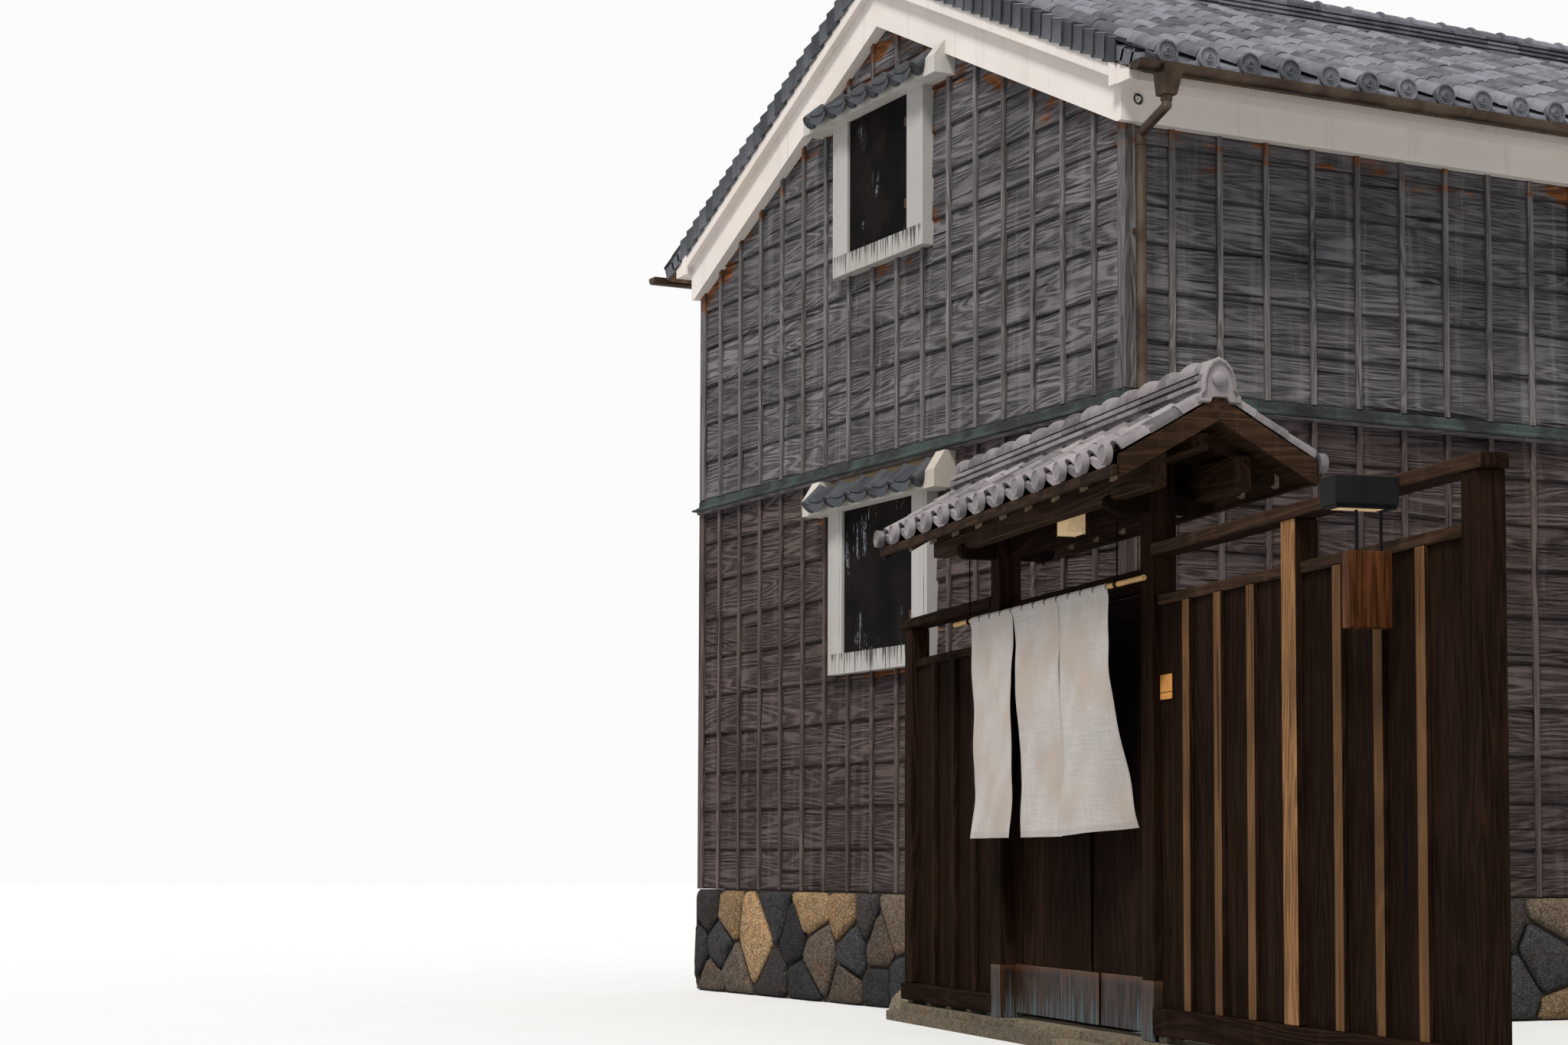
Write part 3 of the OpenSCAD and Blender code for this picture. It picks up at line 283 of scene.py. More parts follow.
def loft(shape, rings, tone=0.5, along=RIGHT, across=None, edges=None, ends=True, open_ring=False, mat=0):
    """Joins rings of points into a skin with flat ends. Edge values are one ring's or those of all points."""
    n = len(rings[0])
    points = [p for ring in rings for p in ring]
    sides = n - 1 if open_ring else n
    faces = [(k * n + i, k * n + (i + 1) % n, (k + 1) * n + (i + 1) % n, (k + 1) * n + i)
             for k in range(len(rings) - 1) for i in range(sides)]
    if ends and not open_ring:
        faces.append(tuple(reversed(range(n))))
        faces.append(tuple((len(rings) - 1) * n + i for i in range(n)))
    edge = edges * (len(points) // len(edges)) if edges else None
    shape.add(points, faces, tone, along, across, edge, mat)


def bar(shape, low, high, bevel=0.004, tone=0.5, wobble=0.0, axis=None, mat=0):
    """A squared timber or stone with chamfered edges, bent a little along its length."""
    low, high = Vector(low), Vector(high)
    size = high - low
    axis = max(range(3), key=lambda i: size[i]) if axis is None else axis
    a, b = [i for i in range(3) if i != axis]
    bevel = min(bevel, *[s * 0.45 for s in size])
    count = max(1, int(size[axis] / 0.35)) if wobble else 1
    inner = [low[axis] + bevel + (size[axis] - 2 * bevel) * i / count for i in range(count + 1)]
    places = [low[axis], *inner, high[axis]]
    key = shape.random.uniform(0, 90)
    rings = []
    for k, at in enumerate(places):
        inset = bevel if k in (0, len(places) - 1) else 0.0
        shift = [wobble * 1.4 * wavy(key, at * 1.7, c * 9) for c in (0, 1)]
        a0, a1, b0, b1 = low[a] + inset, high[a] - inset, low[b] + inset, high[b] - inset
        cut = bevel - inset * 0.6
        ring = []
        for pa, pb in ((a0 + cut, b0), (a1 - cut, b0), (a1, b0 + cut), (a1, b1 - cut),
                       (a1 - cut, b1), (a0 + cut, b1), (a0, b1 - cut), (a0, b0 + cut)):
            p = Vector((0, 0, 0))
            p[axis], p[a], p[b] = at, pa + shift[0], pb + shift[1]
            ring.append(p)
        rings.append(ring)
    loft(shape, rings, tone, (RIGHT, BACK, UP)[axis], mat=mat)


def tube(shape, path, radius, sides=16, tone=0.5, mat=0):
    """A round bar along a path. The radius may be one number or one for each point."""
    path = [Vector(p) for p in path]
    sizes = radius if isinstance(radius, list) else [radius] * len(path)
    rings = []
    normal = None
    for i, p in enumerate(path):
        ahead = (path[min(i + 1, len(path) - 1)] - path[max(i - 1, 0)]).normalized()
        if normal is None:
            normal = ahead.orthogonal().normalized()
        normal = (normal - ahead * normal.dot(ahead)).normalized()
        rings.append(circle(p, normal, ahead.cross(normal), sizes[i], sides))
    loft(shape, rings, tone, path[-1] - path[0], mat=mat)


def dress(node, material, bevel):
    """Gives a node of the frame its finish, with softened edges where asked."""
    piece = frame["nodes"][node]
    piece.data.materials.clear()
    piece.data.materials.append(material)
    if bevel:
        soften = piece.modifiers.new("Soft edges", "BEVEL")
        soften.width = bevel
        soften.segments = 2
        soften.limit_method = "ANGLE"
        soften.angle_limit = math.radians(35)


FLOAT, VECTOR = "NodeSocketFloat", "NodeSocketVector"
GROUPS = {}
MATERIALS = {}


def dim(colour, *shares):
    """A colour times one share, or one share for each channel. White is the limit."""
    shares = shares if len(shares) == 3 else shares * 3
    return tuple(min(1, c * k) for c, k in zip(colour, shares))


class Tree:
    """Short calls that add and join shader nodes."""

    def __init__(self, tree):
        self.tree = tree

    def set(self, socket, value):
        if isinstance(value, bpy.types.NodeSocket):
            self.tree.links.new(value, socket)
        else:
            socket.default_value = value

    def node(self, kind, inputs=None, **settings):
        made = self.tree.nodes.new(kind)
        for key, value in settings.items():
            setattr(made, key, value)
        for key, value in (inputs or {}).items():
            self.set(made.inputs[key], value)
        return made

    def math(self, operation, a, b=0.5, clamp=False):
        return self.node("ShaderNodeMath", {0: a, 1: b}, operation=operation, use_clamp=clamp).outputs[0]

    def plus(self, a, b):
        return self.math("ADD", a, b)

    def times(self, a, b):
        return self.math("MULTIPLY", a, b)

    def mix(self, factor, a, b, kind="MIX"):
        made = self.node("ShaderNodeMix", {0: factor}, data_type="RGBA", blend_type=kind)
        for key, value in ((6, a), (7, b)):
            self.set(made.inputs[key], (*value, 1) if isinstance(value, tuple) else value)
        return made.outputs[2]

    def ramp(self, value, low, high, start=0.0, end=1.0):
        """Maps low to start and high to end, and stays there outside."""
        limits = {"Value": value, "From Min": low, "From Max": high, "To Min": start, "To Max": end}
        return self.node("ShaderNodeMapRange", limits, interpolation_type="SMOOTHSTEP").outputs[0]

    def scaled(self, vector, scale, turn=0.0, shift=(0, 0, 0)):
        given = {"Vector": vector, "Scale": scale, "Rotation": (0, 0, turn), "Location": shift}
        return self.node("ShaderNodeMapping", given).outputs[0]

    def noise(self, vector, scale, detail=2.0, rough=0.5, distortion=0.0):
        return self.node("ShaderNodeTexNoise", {
            "Vector": vector, "Scale": scale, "Detail": detail, "Roughness": rough,
            "Distortion": distortion}).outputs[0]

    def streaks(self, vector, scale, *settings):
        """Noise whose scale differs from one direction to the next."""
        return self.noise(self.scaled(vector, scale), 1.0, *settings)

    def bump(self, height, distance, strength=1.0):
        given = {"Height": height, "Distance": distance, "Strength": strength}
        return self.node("ShaderNodeBump", given).outputs[0]

    def value(self, name):
        """A value that the mesh holds at each point."""
        return self.node("ShaderNodeAttribute", attribute_name=name).outputs["Fac"]

    def grain(self):
        """Coordinates along and across each board, which the mesh holds."""
        return self.node("ShaderNodeAttribute", attribute_name="grain").outputs["Vector"]

    def place(self):
        return self.node("ShaderNodeTexCoord").outputs["Object"]

    def split(self, vector):
        return self.node("ShaderNodeSeparateXYZ", {0: vector}).outputs

    def height(self):
        return self.split(self.place())[2]

    def use(self, name, **inputs):
        """The outputs of a shared group, which is made at its first use."""
        if name not in GROUPS:
            GROUPS[name] = MAKERS[name]()
        return self.node("ShaderNodeGroup", inputs, node_tree=GROUPS[name]).outputs


class Finish(Tree):
    """A material with its shader, whose even values are set on the shader itself."""

    def __init__(self, name, rough=0.7, metal=0.0, specular=0.06):
        made = bpy.data.materials.new(name)
        made.use_nodes = True
        made.node_tree.nodes.clear()
        super().__init__(made.node_tree)
        even = {"Roughness": rough, "Metallic": metal, "Specular IOR Level": specular}
        shader = self.node("ShaderNodeBsdfPrincipled", even)
        self.node("ShaderNodeOutputMaterial", {"Surface": shader.outputs[0]})
        self.shader = shader.inputs
        self.colour = None
        MATERIALS[name] = made

    def lay(self, colour, where):
        """Lays a colour over what is there, as far as the mask goes."""
        self.colour = self.mix(where, self.colour, colour)

    def tinted(self, shares):
        """The colour so far, times one share for each channel."""
        return self.mix(1.0, self.colour, shares, "MULTIPLY")

    def finish(self, relief, rough=None):
        """Joins the colour, the relief and, where it varies, the roughness to the shader."""
        self.set(self.shader["Base Color"], self.colour)
        if rough is not None:
            self.set(self.shader["Roughness"], rough)
        self.set(self.shader["Normal"], relief)


def group(name, inputs, outputs):
    """An empty node group with its sockets, and the nodes that hold them."""
    made = bpy.data.node_groups.new(name, "ShaderNodeTree")
    for label, kind, default in inputs:
        socket = made.interface.new_socket(label, in_out="INPUT", socket_type=kind)
        if default is not None:
            socket.default_value = default
    for label in outputs:
        made.interface.new_socket(label, in_out="OUTPUT", socket_type=FLOAT)
    tree = Tree(made)
    return made, tree, tree.node("NodeGroupInput").outputs, tree.node("NodeGroupOutput").inputs


def grain_group():
    """Lines of flat sawn wood: rings drawn out along the board, fine fibres and cracks."""
    made, t, given, out = group("Wood grain", [("Vector", VECTOR, None), ("Rings", FLOAT, 16.0)],
                                ["Lines", "Fibres", "Height", "Cracks"])
    at = given["Vector"]
    flow = t.streaks(at, (0.5, 5.2, 5.2), 1.6, 0.45, 0.35)
    saw = t.math("PINGPONG", t.times(flow, given["Rings"]), 0.5)
    lines = t.ramp(saw, 0.06, 0.36)
    fibre = t.streaks(at, (5.0, 170.0, 170.0), 2.5, 0.6)
    cracks = t.ramp(t.streaks(at, (1.1, 34.0, 34.0), 2.0, 0.55), 0.3, 0.36, 1.0, 0.0)
    t.set(out["Lines"], lines)
    t.set(out["Fibres"], fibre)
    t.set(out["Cracks"], cracks)
    height = t.plus(t.times(lines, -0.8), t.math("SUBTRACT", fibre, 0.5))
    t.set(out["Height"], t.math("SUBTRACT", height, t.times(cracks, 1.4)))
    return made


def weather_group():
    """Large soft patches, runs that go down the surface, and dust in small spots."""
    made, t, given, out = group("Weathering", [("Vector", VECTOR, None), ("Size", FLOAT, 1.0)],
                                ["Patches", "Runs", "Spots"])
    sized = {0: given["Vector"], 1: given["Size"]}
    at = t.node("ShaderNodeVectorMath", sized, operation="MULTIPLY").outputs[0]
    t.set(out["Patches"], t.noise(at, 1.7, 4.0, 0.55, 0.3))
    t.set(out["Runs"], t.streaks(at, (9.0, 9.0, 0.55), 3.0, 0.6, 0.2))
    t.set(out["Spots"], t.noise(at, 26.0, 5.0, 0.7))
    return made


def clay_group():
    """Smoked clay: cloudy tone, small pits, and pale bloom in places."""
    made, t, given, out = group("Smoked clay", [("Vector", VECTOR, None), ("Tone", FLOAT, 0.5)],
                                ["Shade", "Bloom", "Height"])
    at = given["Vector"]
    cloud = t.noise(at, 9.0, 4.0, 0.6, 0.4)
    t.set(out["Shade"], t.plus(t.times(cloud, 0.55), t.times(given["Tone"], 0.6)))
    t.set(out["Bloom"], t.ramp(t.noise(at, 22.0, 5.0, 0.72, 0.5), 0.56, 0.72))
    t.set(out["Height"], t.plus(t.times(cloud, 0.5), t.times(t.noise(at, 120.0, 3.0, 0.6), 0.35)))
    return made


def granite_group():
    """Grains of granite: pale, dark and rusty ones."""
    made, t, given, out = group("Granite grains", [("Vector", VECTOR, None), ("Scale", FLOAT, 240.0)],
                                ["Pale", "Dark", "Rust", "Height"])
    at = given["Vector"]
    cell = t.node("ShaderNodeTexVoronoi", {"Vector": at, "Scale": given["Scale"]})
    pick = t.node("ShaderNodeSeparateColor", {0: cell.outputs["Color"]}).outputs[0]
    t.set(out["Pale"], t.ramp(pick, 0.62, 0.8))
    t.set(out["Dark"], t.ramp(pick, 0.16, 0.24, 1.0, 0.0))
    t.set(out["Rust"], t.ramp(t.noise(at, 7.0, 4.0, 0.6, 0.5), 0.5, 0.68))
    t.set(out["Height"], t.plus(t.noise(at, 34.0, 6.0, 0.65), t.times(pick, 0.12)))
    return made


MAKERS = {"grain": grain_group, "weather": weather_group, "clay": clay_group, "granite": granite_group}


def wood(name, main, dark=0.35, contrast=1.0, rings=16.0, rough=0.82, relief=0.0035, vector=Tree.grain,
         specular=0.05, low=None, fresh=None, bare=0.0):
    """Weathered wood. Tone shifts a board's shade, and edge 1 marks the foot and head of a board and the
    sides of a batten, which take painted shade.
    Low is the colour below the drip band, and fresh that of wood in the shelter, where bare says how much."""
    t = Finish(name, rough, specular=specular)
    g = t.use("grain", Vector=vector(t), Rings=rings)
    w = t.use("weather", Vector=t.place())
    base = main
    if low:
        base = t.mix(t.ramp(t.height(), BAND_LOW - 0.02, BAND_LOW + 0.02), low, main)
    pale = t.mix(1.0, base, (1.9, 1.9, 1.93), "MULTIPLY")
    deep = t.mix(1.0, base, (dark, dark, dark), "MULTIPLY")
    t.colour = t.mix(t.ramp(t.value("tone"), 0.0, 1.0, 0.0, 0.7), t.mix(0.35, base, deep), pale)
    t.lay(deep, t.math("MULTIPLY", g["Lines"], 0.88 * contrast, clamp=True))
    t.lay(pale, t.ramp(g["Fibres"], 0.4, 0.7, 0.0, 0.6 * contrast))
    t.lay(deep, t.ramp(w["Patches"], 0.4, 0.7, 0.0, 0.45))
    t.lay(pale, t.ramp(w["Runs"], 0.52, 0.7, 0.0, 0.35))
    if bare:
        shelter = t.value("bare")
        brown = t.mix(t.times(g["Lines"], 0.75), fresh, dim(fresh, 0.3, 0.26, 0.22))
        small = t.streaks(t.place(), (4.0, 4.0, 11.0), 3.0, 0.55)
        spots = t.ramp(t.plus(small, t.times(shelter, 0.3)), 0.7, 0.84, 0.0, bare)
        t.lay(brown, t.times(t.ramp(shelter, 0.15, 0.5), spots))
    # Painted shade: darker where the edge value is high, under the laps at the boards' feet and heads and
    # beside the battens
    t.lay(deep, t.ramp(t.value("edge"), 0.55, 1.0, 0.0, 0.75))
    # Painted shade: near black inside the cracks
    t.lay((0.006, 0.005, 0.005), t.times(g["Cracks"], 0.8))
    t.finish(t.bump(g["Height"], relief), t.ramp(g["Fibres"], 0.2, 0.8, rough - 0.12, rough + 0.1))


def plaster(name, main, stain=0.5, worn=0.0, sills=()):
    """Lime plaster: trowel marks, warm stains, fine dirt, and dark drips down the given sills' faces."""
    t = Finish(name, 0.86, specular=0.12)
    at = t.place()
    w = t.use("weather", Vector=at)
    wide = t.use("weather", Vector=at, Size=0.45)
    t.colour = t.mix(t.ramp(w["Patches"], 0.3, 0.75, 0.0, 0.4), main, dim(main, 0.8))
    t.lay(dim(main, 0.9, 0.78, 0.6), t.ramp(wide["Patches"], 0.5, 0.72, 0.0, 0.55 * stain))
    t.lay(dim(main, 0.42), t.ramp(w["Runs"], 0.56, 0.78, 0.0, 0.5 * stain))
    t.lay(dim(main, 0.5), t.ramp(w["Spots"], 0.63, 0.78, 0.0, 0.55 * stain))
    for low, high in sills:
        thin = t.streaks(at, (62.0, 62.0, 0.7), 3.0, 0.7, 0.05)
        fall = t.ramp(t.height(), low - 0.03, high + 0.03, 0.09, 0.26)
        drips = t.ramp(t.plus(thin, fall), 0.7, 0.75)
        on_sill = t.ramp(t.height(), high, high + 0.004, 1.0, 0.0)
        facing = t.split(t.node("ShaderNodeNewGeometry").outputs["Normal"])[1]
        in_front = t.ramp(t.math("ABSOLUTE", facing), 0.7, 0.75)
        t.lay(dim(main, 0.08), t.times(t.times(t.times(drips, on_sill), in_front), 0.85))
    if worn:
        t.lay(dim(main, 0.62, 0.46, 0.3), t.ramp(w["Patches"], 0.48, 0.6, 0.0, worn))
    height = t.plus(t.noise(at, 5.0, 3.0, 0.5, 0.3), t.times(t.noise(at, 90.0, 4.0, 0.6), 0.12))
    t.finish(t.bump(height, 0.006, 0.6))


def clay(name, main, rough=0.48, specular=0.4):
    """Smoked roof tile, paler where it is worn, with painted shade where the edge value is high: in the
    troughs between the rolls and on the verge plates' hanging faces.
    """
    t = Finish(name, rough, specular=specular)
    at = t.place()
    c = t.use("clay", Vector=at, Tone=t.value("tone"))
    w = t.use("weather", Vector=at)
    t.colour = t.mix(t.ramp(c["Shade"], 0.25, 0.9), dim(main, 0.35), dim(main, 1.6))
    t.lay(dim(main, 2.1), t.times(c["Bloom"], 0.5))
    t.lay(dim(main, 1.3, 1.25, 0.85), t.ramp(w["Spots"], 0.6, 0.72, 0.0, 0.5))
    t.lay(dim(main, 0.3), t.ramp(w["Runs"], 0.5, 0.75, 0.0, 0.45))
    # Painted shade: darker where the edge value is high, in the pans' troughs and on the verge plates'
    # hanging faces
    t.lay(dim(main, 0.14), t.ramp(t.value("edge"), 0.6, 1.0, 0.0, 0.9))
    t.finish(t.bump(c["Height"], 0.0035), t.ramp(c["Shade"], 0.2, 0.9, rough - 0.08, rough + 0.22))


def stone(name, main, rust=0.0, scale=240.0, pale=None):
    """Granite or fieldstone with grains, chipped relief and warm stains."""
    t = Finish(name, 0.85, specular=0.12)
    at = t.place()
    g = t.use("granite", Vector=at, Scale=scale)
    w = t.use("weather", Vector=at)
    tone = t.ramp(t.value("tone"), 0.0, 1.0)
    t.colour = t.mix(tone, dim(main, 0.62), dim(main, 1.45))
    if pale:
        t.lay(t.mix(tone, dim(pale, 0.7), dim(pale, 1.3)), t.value("warm"))
    t.lay(t.tinted((2.9, 2.8, 2.6)), t.times(g["Pale"], 0.7))
    t.lay(t.tinted((0.5, 0.5, 0.53)), t.ramp(w["Spots"], 0.36, 0.5, 0.75, 0.0))
    t.lay(dim(main, 0.2), t.times(g["Dark"], 0.5))
    if rust:
        t.lay(t.tinted((1.35, 0.86, 0.5)), t.times(g["Rust"], rust))
    t.lay(dim(main, 2.2), t.ramp(w["Spots"], 0.6, 0.74, 0.0, 0.4))
    # Painted shade: darker where the edge value is high, on the rim where a stone sinks back into its joint
    t.lay(dim(main, 0.22), t.ramp(t.value("edge"), 0.55, 1.0, 0.0, 0.75))
    t.finish(t.bump(g["Height"], 0.016))


def metal(name, main, rough, metallic, green=0.0, dull=0.4):
    """Weathered copper or iron: brown skin, green bloom and dull patches."""
    t = Finish(name, rough, metallic, 0.2)
    w = t.use("weather", Vector=t.place(), Size=2.2)
    t.colour = t.mix(t.ramp(w["Patches"], 0.3, 0.72), dim(main, 0.5), dim(main, 1.6))
    if green:
        t.lay((0.055, 0.095, 0.075), t.ramp(w["Patches"], 0.48, 0.6, 0.0, green))
        t.lay((0.1, 0.15, 0.12), t.ramp(w["Spots"], 0.58, 0.7, 0.0, green))
    t.lay(dim(main, 0.3), t.ramp(w["Spots"], 0.3, 0.45, dull, 0.0))
    t.finish(t.bump(w["Spots"], 0.0015, 0.5), t.ramp(w["Patches"], 0.25, 0.75, rough - 0.12, rough + 0.25))


def kick_finish(name, main, runs_colour):
    """Old copper sheet: dark brown, with pale blue green runs and a bright worn upper edge."""
    t = Finish(name, 0.6, 0.15, 0.08)
    at = t.place()
    w = t.use("weather", Vector=at, Size=1.8)
    runs = t.streaks(at, (48.0, 48.0, 1.1), 4.0, 0.6, 0.15)
    fine = t.streaks(at, (150.0, 150.0, 2.4), 2.0, 0.6)
    t.colour = t.mix(t.ramp(w["Patches"], 0.3, 0.7), dim(main, 0.45), dim(main, 1.9))
    fall = t.ramp(t.height(), 0.08, 0.4, 0.1, -0.14)
    worn = t.ramp(t.plus(t.plus(runs, t.times(fine, 0.5)), fall), 0.76, 0.92)
    rust_runs = t.noise(t.scaled(at, (30.0, 30.0, 1.6), shift=(9, 0, 0)), 1.0, 3.0)
    t.lay(dim(main, 2.6, 1.7, 1.2), t.ramp(rust_runs, 0.5, 0.66, 0.0, 0.8))
    t.lay(runs_colour, t.times(worn, 0.75))
    top_edge = t.ramp(t.plus(t.height(), t.times(fine, 0.06)), 0.36, 0.4)
    t.lay((0.12, 0.055, 0.025), t.times(top_edge, 0.5))
    t.finish(t.bump(t.plus(w["Spots"], worn), 0.0012, 0.5), t.ramp(worn, 0.0, 1.0, 0.38, 0.75))


def shutter_finish(name, main):
    """Black lime that has peeled to bluish white in patches and specks, with runs."""
    t = Finish(name, 0.7, specular=0.03)
    at = t.place()
    w = t.use("weather", Vector=at, Size=1.6)
    t.colour = t.mix(t.ramp(w["Patches"], 0.35, 0.7), main, dim(main, 2.6, 2.1, 1.8))
    runs = t.streaks(at, (46.0, 46.0, 3.4), 4.0, 0.65, 0.4)
    flakes = t.times(t.ramp(runs, 0.53, 0.6), t.ramp(w["Spots"], 0.46, 0.52))
    flakes = t.times(flakes, t.ramp(t.noise(at, 2.6, 2.0), 0.55, 0.63))
    t.lay((0.26, 0.27, 0.31), flakes)
    t.lay((0.22, 0.22, 0.24), t.times(t.ramp(t.noise(at, 150.0, 3.0, 0.6), 0.7, 0.74), 0.5))
    t.finish(t.bump(t.math("SUBTRACT", w["Spots"], t.times(flakes, 0.6)), 0.004, 0.6))


def linen(name, main):
    """Plain weave with uneven threads and faint warm stains."""
    t = Finish(name, 0.9, specular=0.2)
    at = t.grain()
    parts = t.split(at)
    thread = 2 * math.pi / 0.0032
    warp, weft = (t.math("SINE", t.times(parts[k], thread)) for k in (0, 1))
    weave = t.times(warp, weft)
    slubs = t.plus(*[t.streaks(at, scale, 2.0, 0.6) for scale in ((6.0, 420.0, 6.0), (420.0, 6.0, 6.0))])
    w = t.use("weather", Vector=t.place(), Size=1.4)
    t.colour = t.mix(t.ramp(slubs, 0.75, 1.25), dim(main, 0.82), dim(main, 1.14))
    t.lay(dim(main, 0.9, 0.8, 0.7), t.ramp(w["Patches"], 0.4, 0.66, 0.0, 0.8))
    t.lay(dim(main, 0.55), t.ramp(t.value("edge"), 0.2, 0.8, 0.0, 0.3))
    t.finish(t.bump(t.plus(t.times(weave, 0.3), slubs), 0.0008, 0.5))
    t.shader["Sheen Weight"].default_value = 0.15
    t.shader["Sheen Roughness"].default_value = 0.6


def paper(name, main, glow):
    """Lamp paper or milk glass, with fibres and a faint light of its own."""
    t = Finish(name, 0.6, specular=0.3)
    fibres = t.streaks(t.place(), (40.0, 40.0, 160.0), 4.0, 0.6, 0.6)
    t.colour = t.mix(t.ramp(fibres, 0.35, 0.7), dim(main, 0.82), main)
    t.finish(t.bump(fibres, 0.0006))
    t.set(t.shader["Emission Color"], t.colour)
    t.shader["Emission Strength"].default_value = glow


def street_grain(t):
    """Grain coordinates along the fence, for the frame's own timbers."""
    return t.scaled(t.place(), (1, 1, 1), turn=-STREET_TURN)


def build_materials():
    """All finishes of the house and the gate."""
    c = {name: tuple(getattr(setting("colours"), name)) for name in Colours.__annotations__}
    planed = {"rings": 12.0, "relief": 0.0025, "rough": 0.66}
    below = c["low_boards"]
    wood("boards", c["boards"], 0.26, rings=17.0, relief=0.006, low=below, fresh=c["fresh"], bare=1.0)
    wood("battens", c["battens"], rings=22.0, relief=0.003, contrast=0.8, low=dim(below, 1.25),
         fresh=c["fresh"], bare=0.8)
    for name, grain in (("dark_wood", Tree.grain), ("dark_wood_frame", street_grain)):
        wood(name, c["dark_wood"], rings=14.0, relief=0.003, rough=0.78, contrast=0.8, vector=grain,
             specular=0.015)
    # Painted sunlight: brown for the street faces of posts and beams on the right, and a dimmer copy for the
    # battens there
    wood("brown_wood", c["brown_wood"], contrast=0.9, **planed)
    wood("batten_wood", dim(c["brown_wood"], 0.4), contrast=0.4, **planed)
    wood("gate_wood", c["gate_wood"], contrast=0.9, **planed)
    wood("gate_wood_frame", c["gate_wood"], contrast=0.9, vector=street_grain, **planed)
    wood("sign_wood", (0.085, 0.03, 0.011), rings=9.0, relief=0.0015, rough=0.4)
    wood("floor_wood", (0.2, 0.12, 0.07), rings=12.0, vector=Tree.place)
    wood("bamboo", c["bamboo"], rings=3.0, relief=0.0006, rough=0.4, dark=0.6, contrast=0.5)
    wood("pale_paint", (0.23, 0.17, 0.12), rings=12.0, relief=0.001, rough=0.8, dark=0.6, contrast=0.3)
    plaster("white_plaster", c["plaster"], 0.45)
    feet = [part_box(level + "_window_surround")[0].z for level in ("upper", "lower")]
    plaster("window_plaster", c["surround"], 0.6, sills=[(z, z + SILL_H) for z in feet])
    plaster("canopy_plaster", (0.56, 0.535, 0.5), 0.7, worn=0.2)
    plaster("clay_wall", (0.42, 0.31, 0.2), 0.6)
    clay("tile", c["tile"])
    clay("canopy_tile", dim(c["tile"], 0.36), 0.5, 0.25)
    clay("gate_tile", c["gate_tile"], 0.6, 0.25)
    stone("fieldstone", c["dark_stone"], rust=0.35, scale=190.0, pale=c["warm_stone"])
    stone("joint_mortar", (0.045, 0.038, 0.032), scale=320.0)
    stone("granite", c["curb"], rust=0.45, scale=300.0)
    metal("copper", c["copper"], 0.6, 0.15, green=0.42)
    metal("gutter_copper", c["gutter"], 0.42, 0.75, green=0.12)
    metal("iron", (0.035, 0.032, 0.03), 0.6, 0.6)
    metal("black_metal", (0.005, 0.005, 0.005), 0.6, 0.0, dull=0.2)
    metal("brass_plate", c["plate"], 0.4, 0.1, dull=0.1)
    kick_finish("kick_plate", (0.027, 0.017, 0.0125), c["verdigris"])
    shutter_finish("shutter", c["shutter"])
    linen("linen", c["linen"])
    paper("lantern_paper", (0.72, 0.52, 0.3), 0.36)


class Side:
    """One side of the house: u runs along it, z up, and e stands out from the battens' faces."""

    def __init__(self, name, corner, along, out, length, gable):
        self.name, self.corner, self.along, self.out = name, Vector(corner), Vector(along), Vector(out)
        self.length, self.gable = length, gable

    def at(self, u, e, z):
        return self.corner + self.along * u + self.out * e + UP * z

    def along_it(self, p):
        return (p - self.corner).dot(self.along)

    def top(self, u):
        """Height of the boards' upper end."""
        return WALL_TOP + (HALF - abs(u - HALF)) * PITCH if self.gable else WALL_TOP


SIDES = [
    Side("front", (-HALF, 0, 0), RIGHT, -BACK, 2 * HALF, True),
    Side("right", (HALF, 0, 0), BACK, RIGHT, LENGTH, False),
    Side("back", (HALF, LENGTH, 0), -RIGHT, BACK, 2 * HALF, True),
    Side("left", (-HALF, LENGTH, 0), -BACK, -RIGHT, LENGTH, False),
]


def holes(side):
    """Rectangles that the boards leave free, as u and z from low to high. The drip band comes first."""
    found = [(-1, side.length + 1, BAND_LOW, BAND_TOP)]
    if side.gable:
        for level in ("upper", "lower"):
            for part in ("surround", "canopy"):
                low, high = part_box(f"{level}_window_{part}")
                found.append((low.x + HALF, high.x + HALF, low.z, high.z))
    if side.name == "right":
        low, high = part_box("yard_door_surround")
        found.append((low.y, high.y, low.z, high.z))
    return found


def cut_runs(start, end, gaps, least):
    """The parts of a run that no gap takes and that are longer than the least length."""
    runs = [(start, end)]
    for low, high in gaps:
        runs = [(s, e) for a, b in runs for s, e in ((a, min(b, low)), (max(a, high), b)) if e > s]
    return [(s, e) for s, e in runs if e - s > least]


def free_runs(u0, u1, z0, z1, gaps):
    """The parts of a strip from u0 to u1 that no gap takes."""
    near = [(a, b) for a, b, low, high in gaps if high > z0 + TOUCH and low < z1 - TOUCH]
    return cut_runs(u0, u1, near, 0.02)


def upright_runs(u0, u1, gaps, side):
    """Heights between which a batten stands free of every gap."""
    near = [(low, high) for a, b, low, high in gaps if b > u0 + TOUCH and a < u1 - TOUCH]
    return cut_runs(PLINTH_TOP, max(side.top(u0), side.top(u1)), near, 0.03)


def courses():
    """Foot and head of each course of boards, on both storeys."""
    step = setting("siding").exposure
    rows = []
    for foot, head in ((PLINTH_TOP, BAND_LOW), (BAND_TOP, APEX)):
        count = math.ceil((head - foot) / step - 0.01)
        rows += [(foot + k * step, min(foot + (k + 1) * step, head)) for k in range(count)]
    return rows


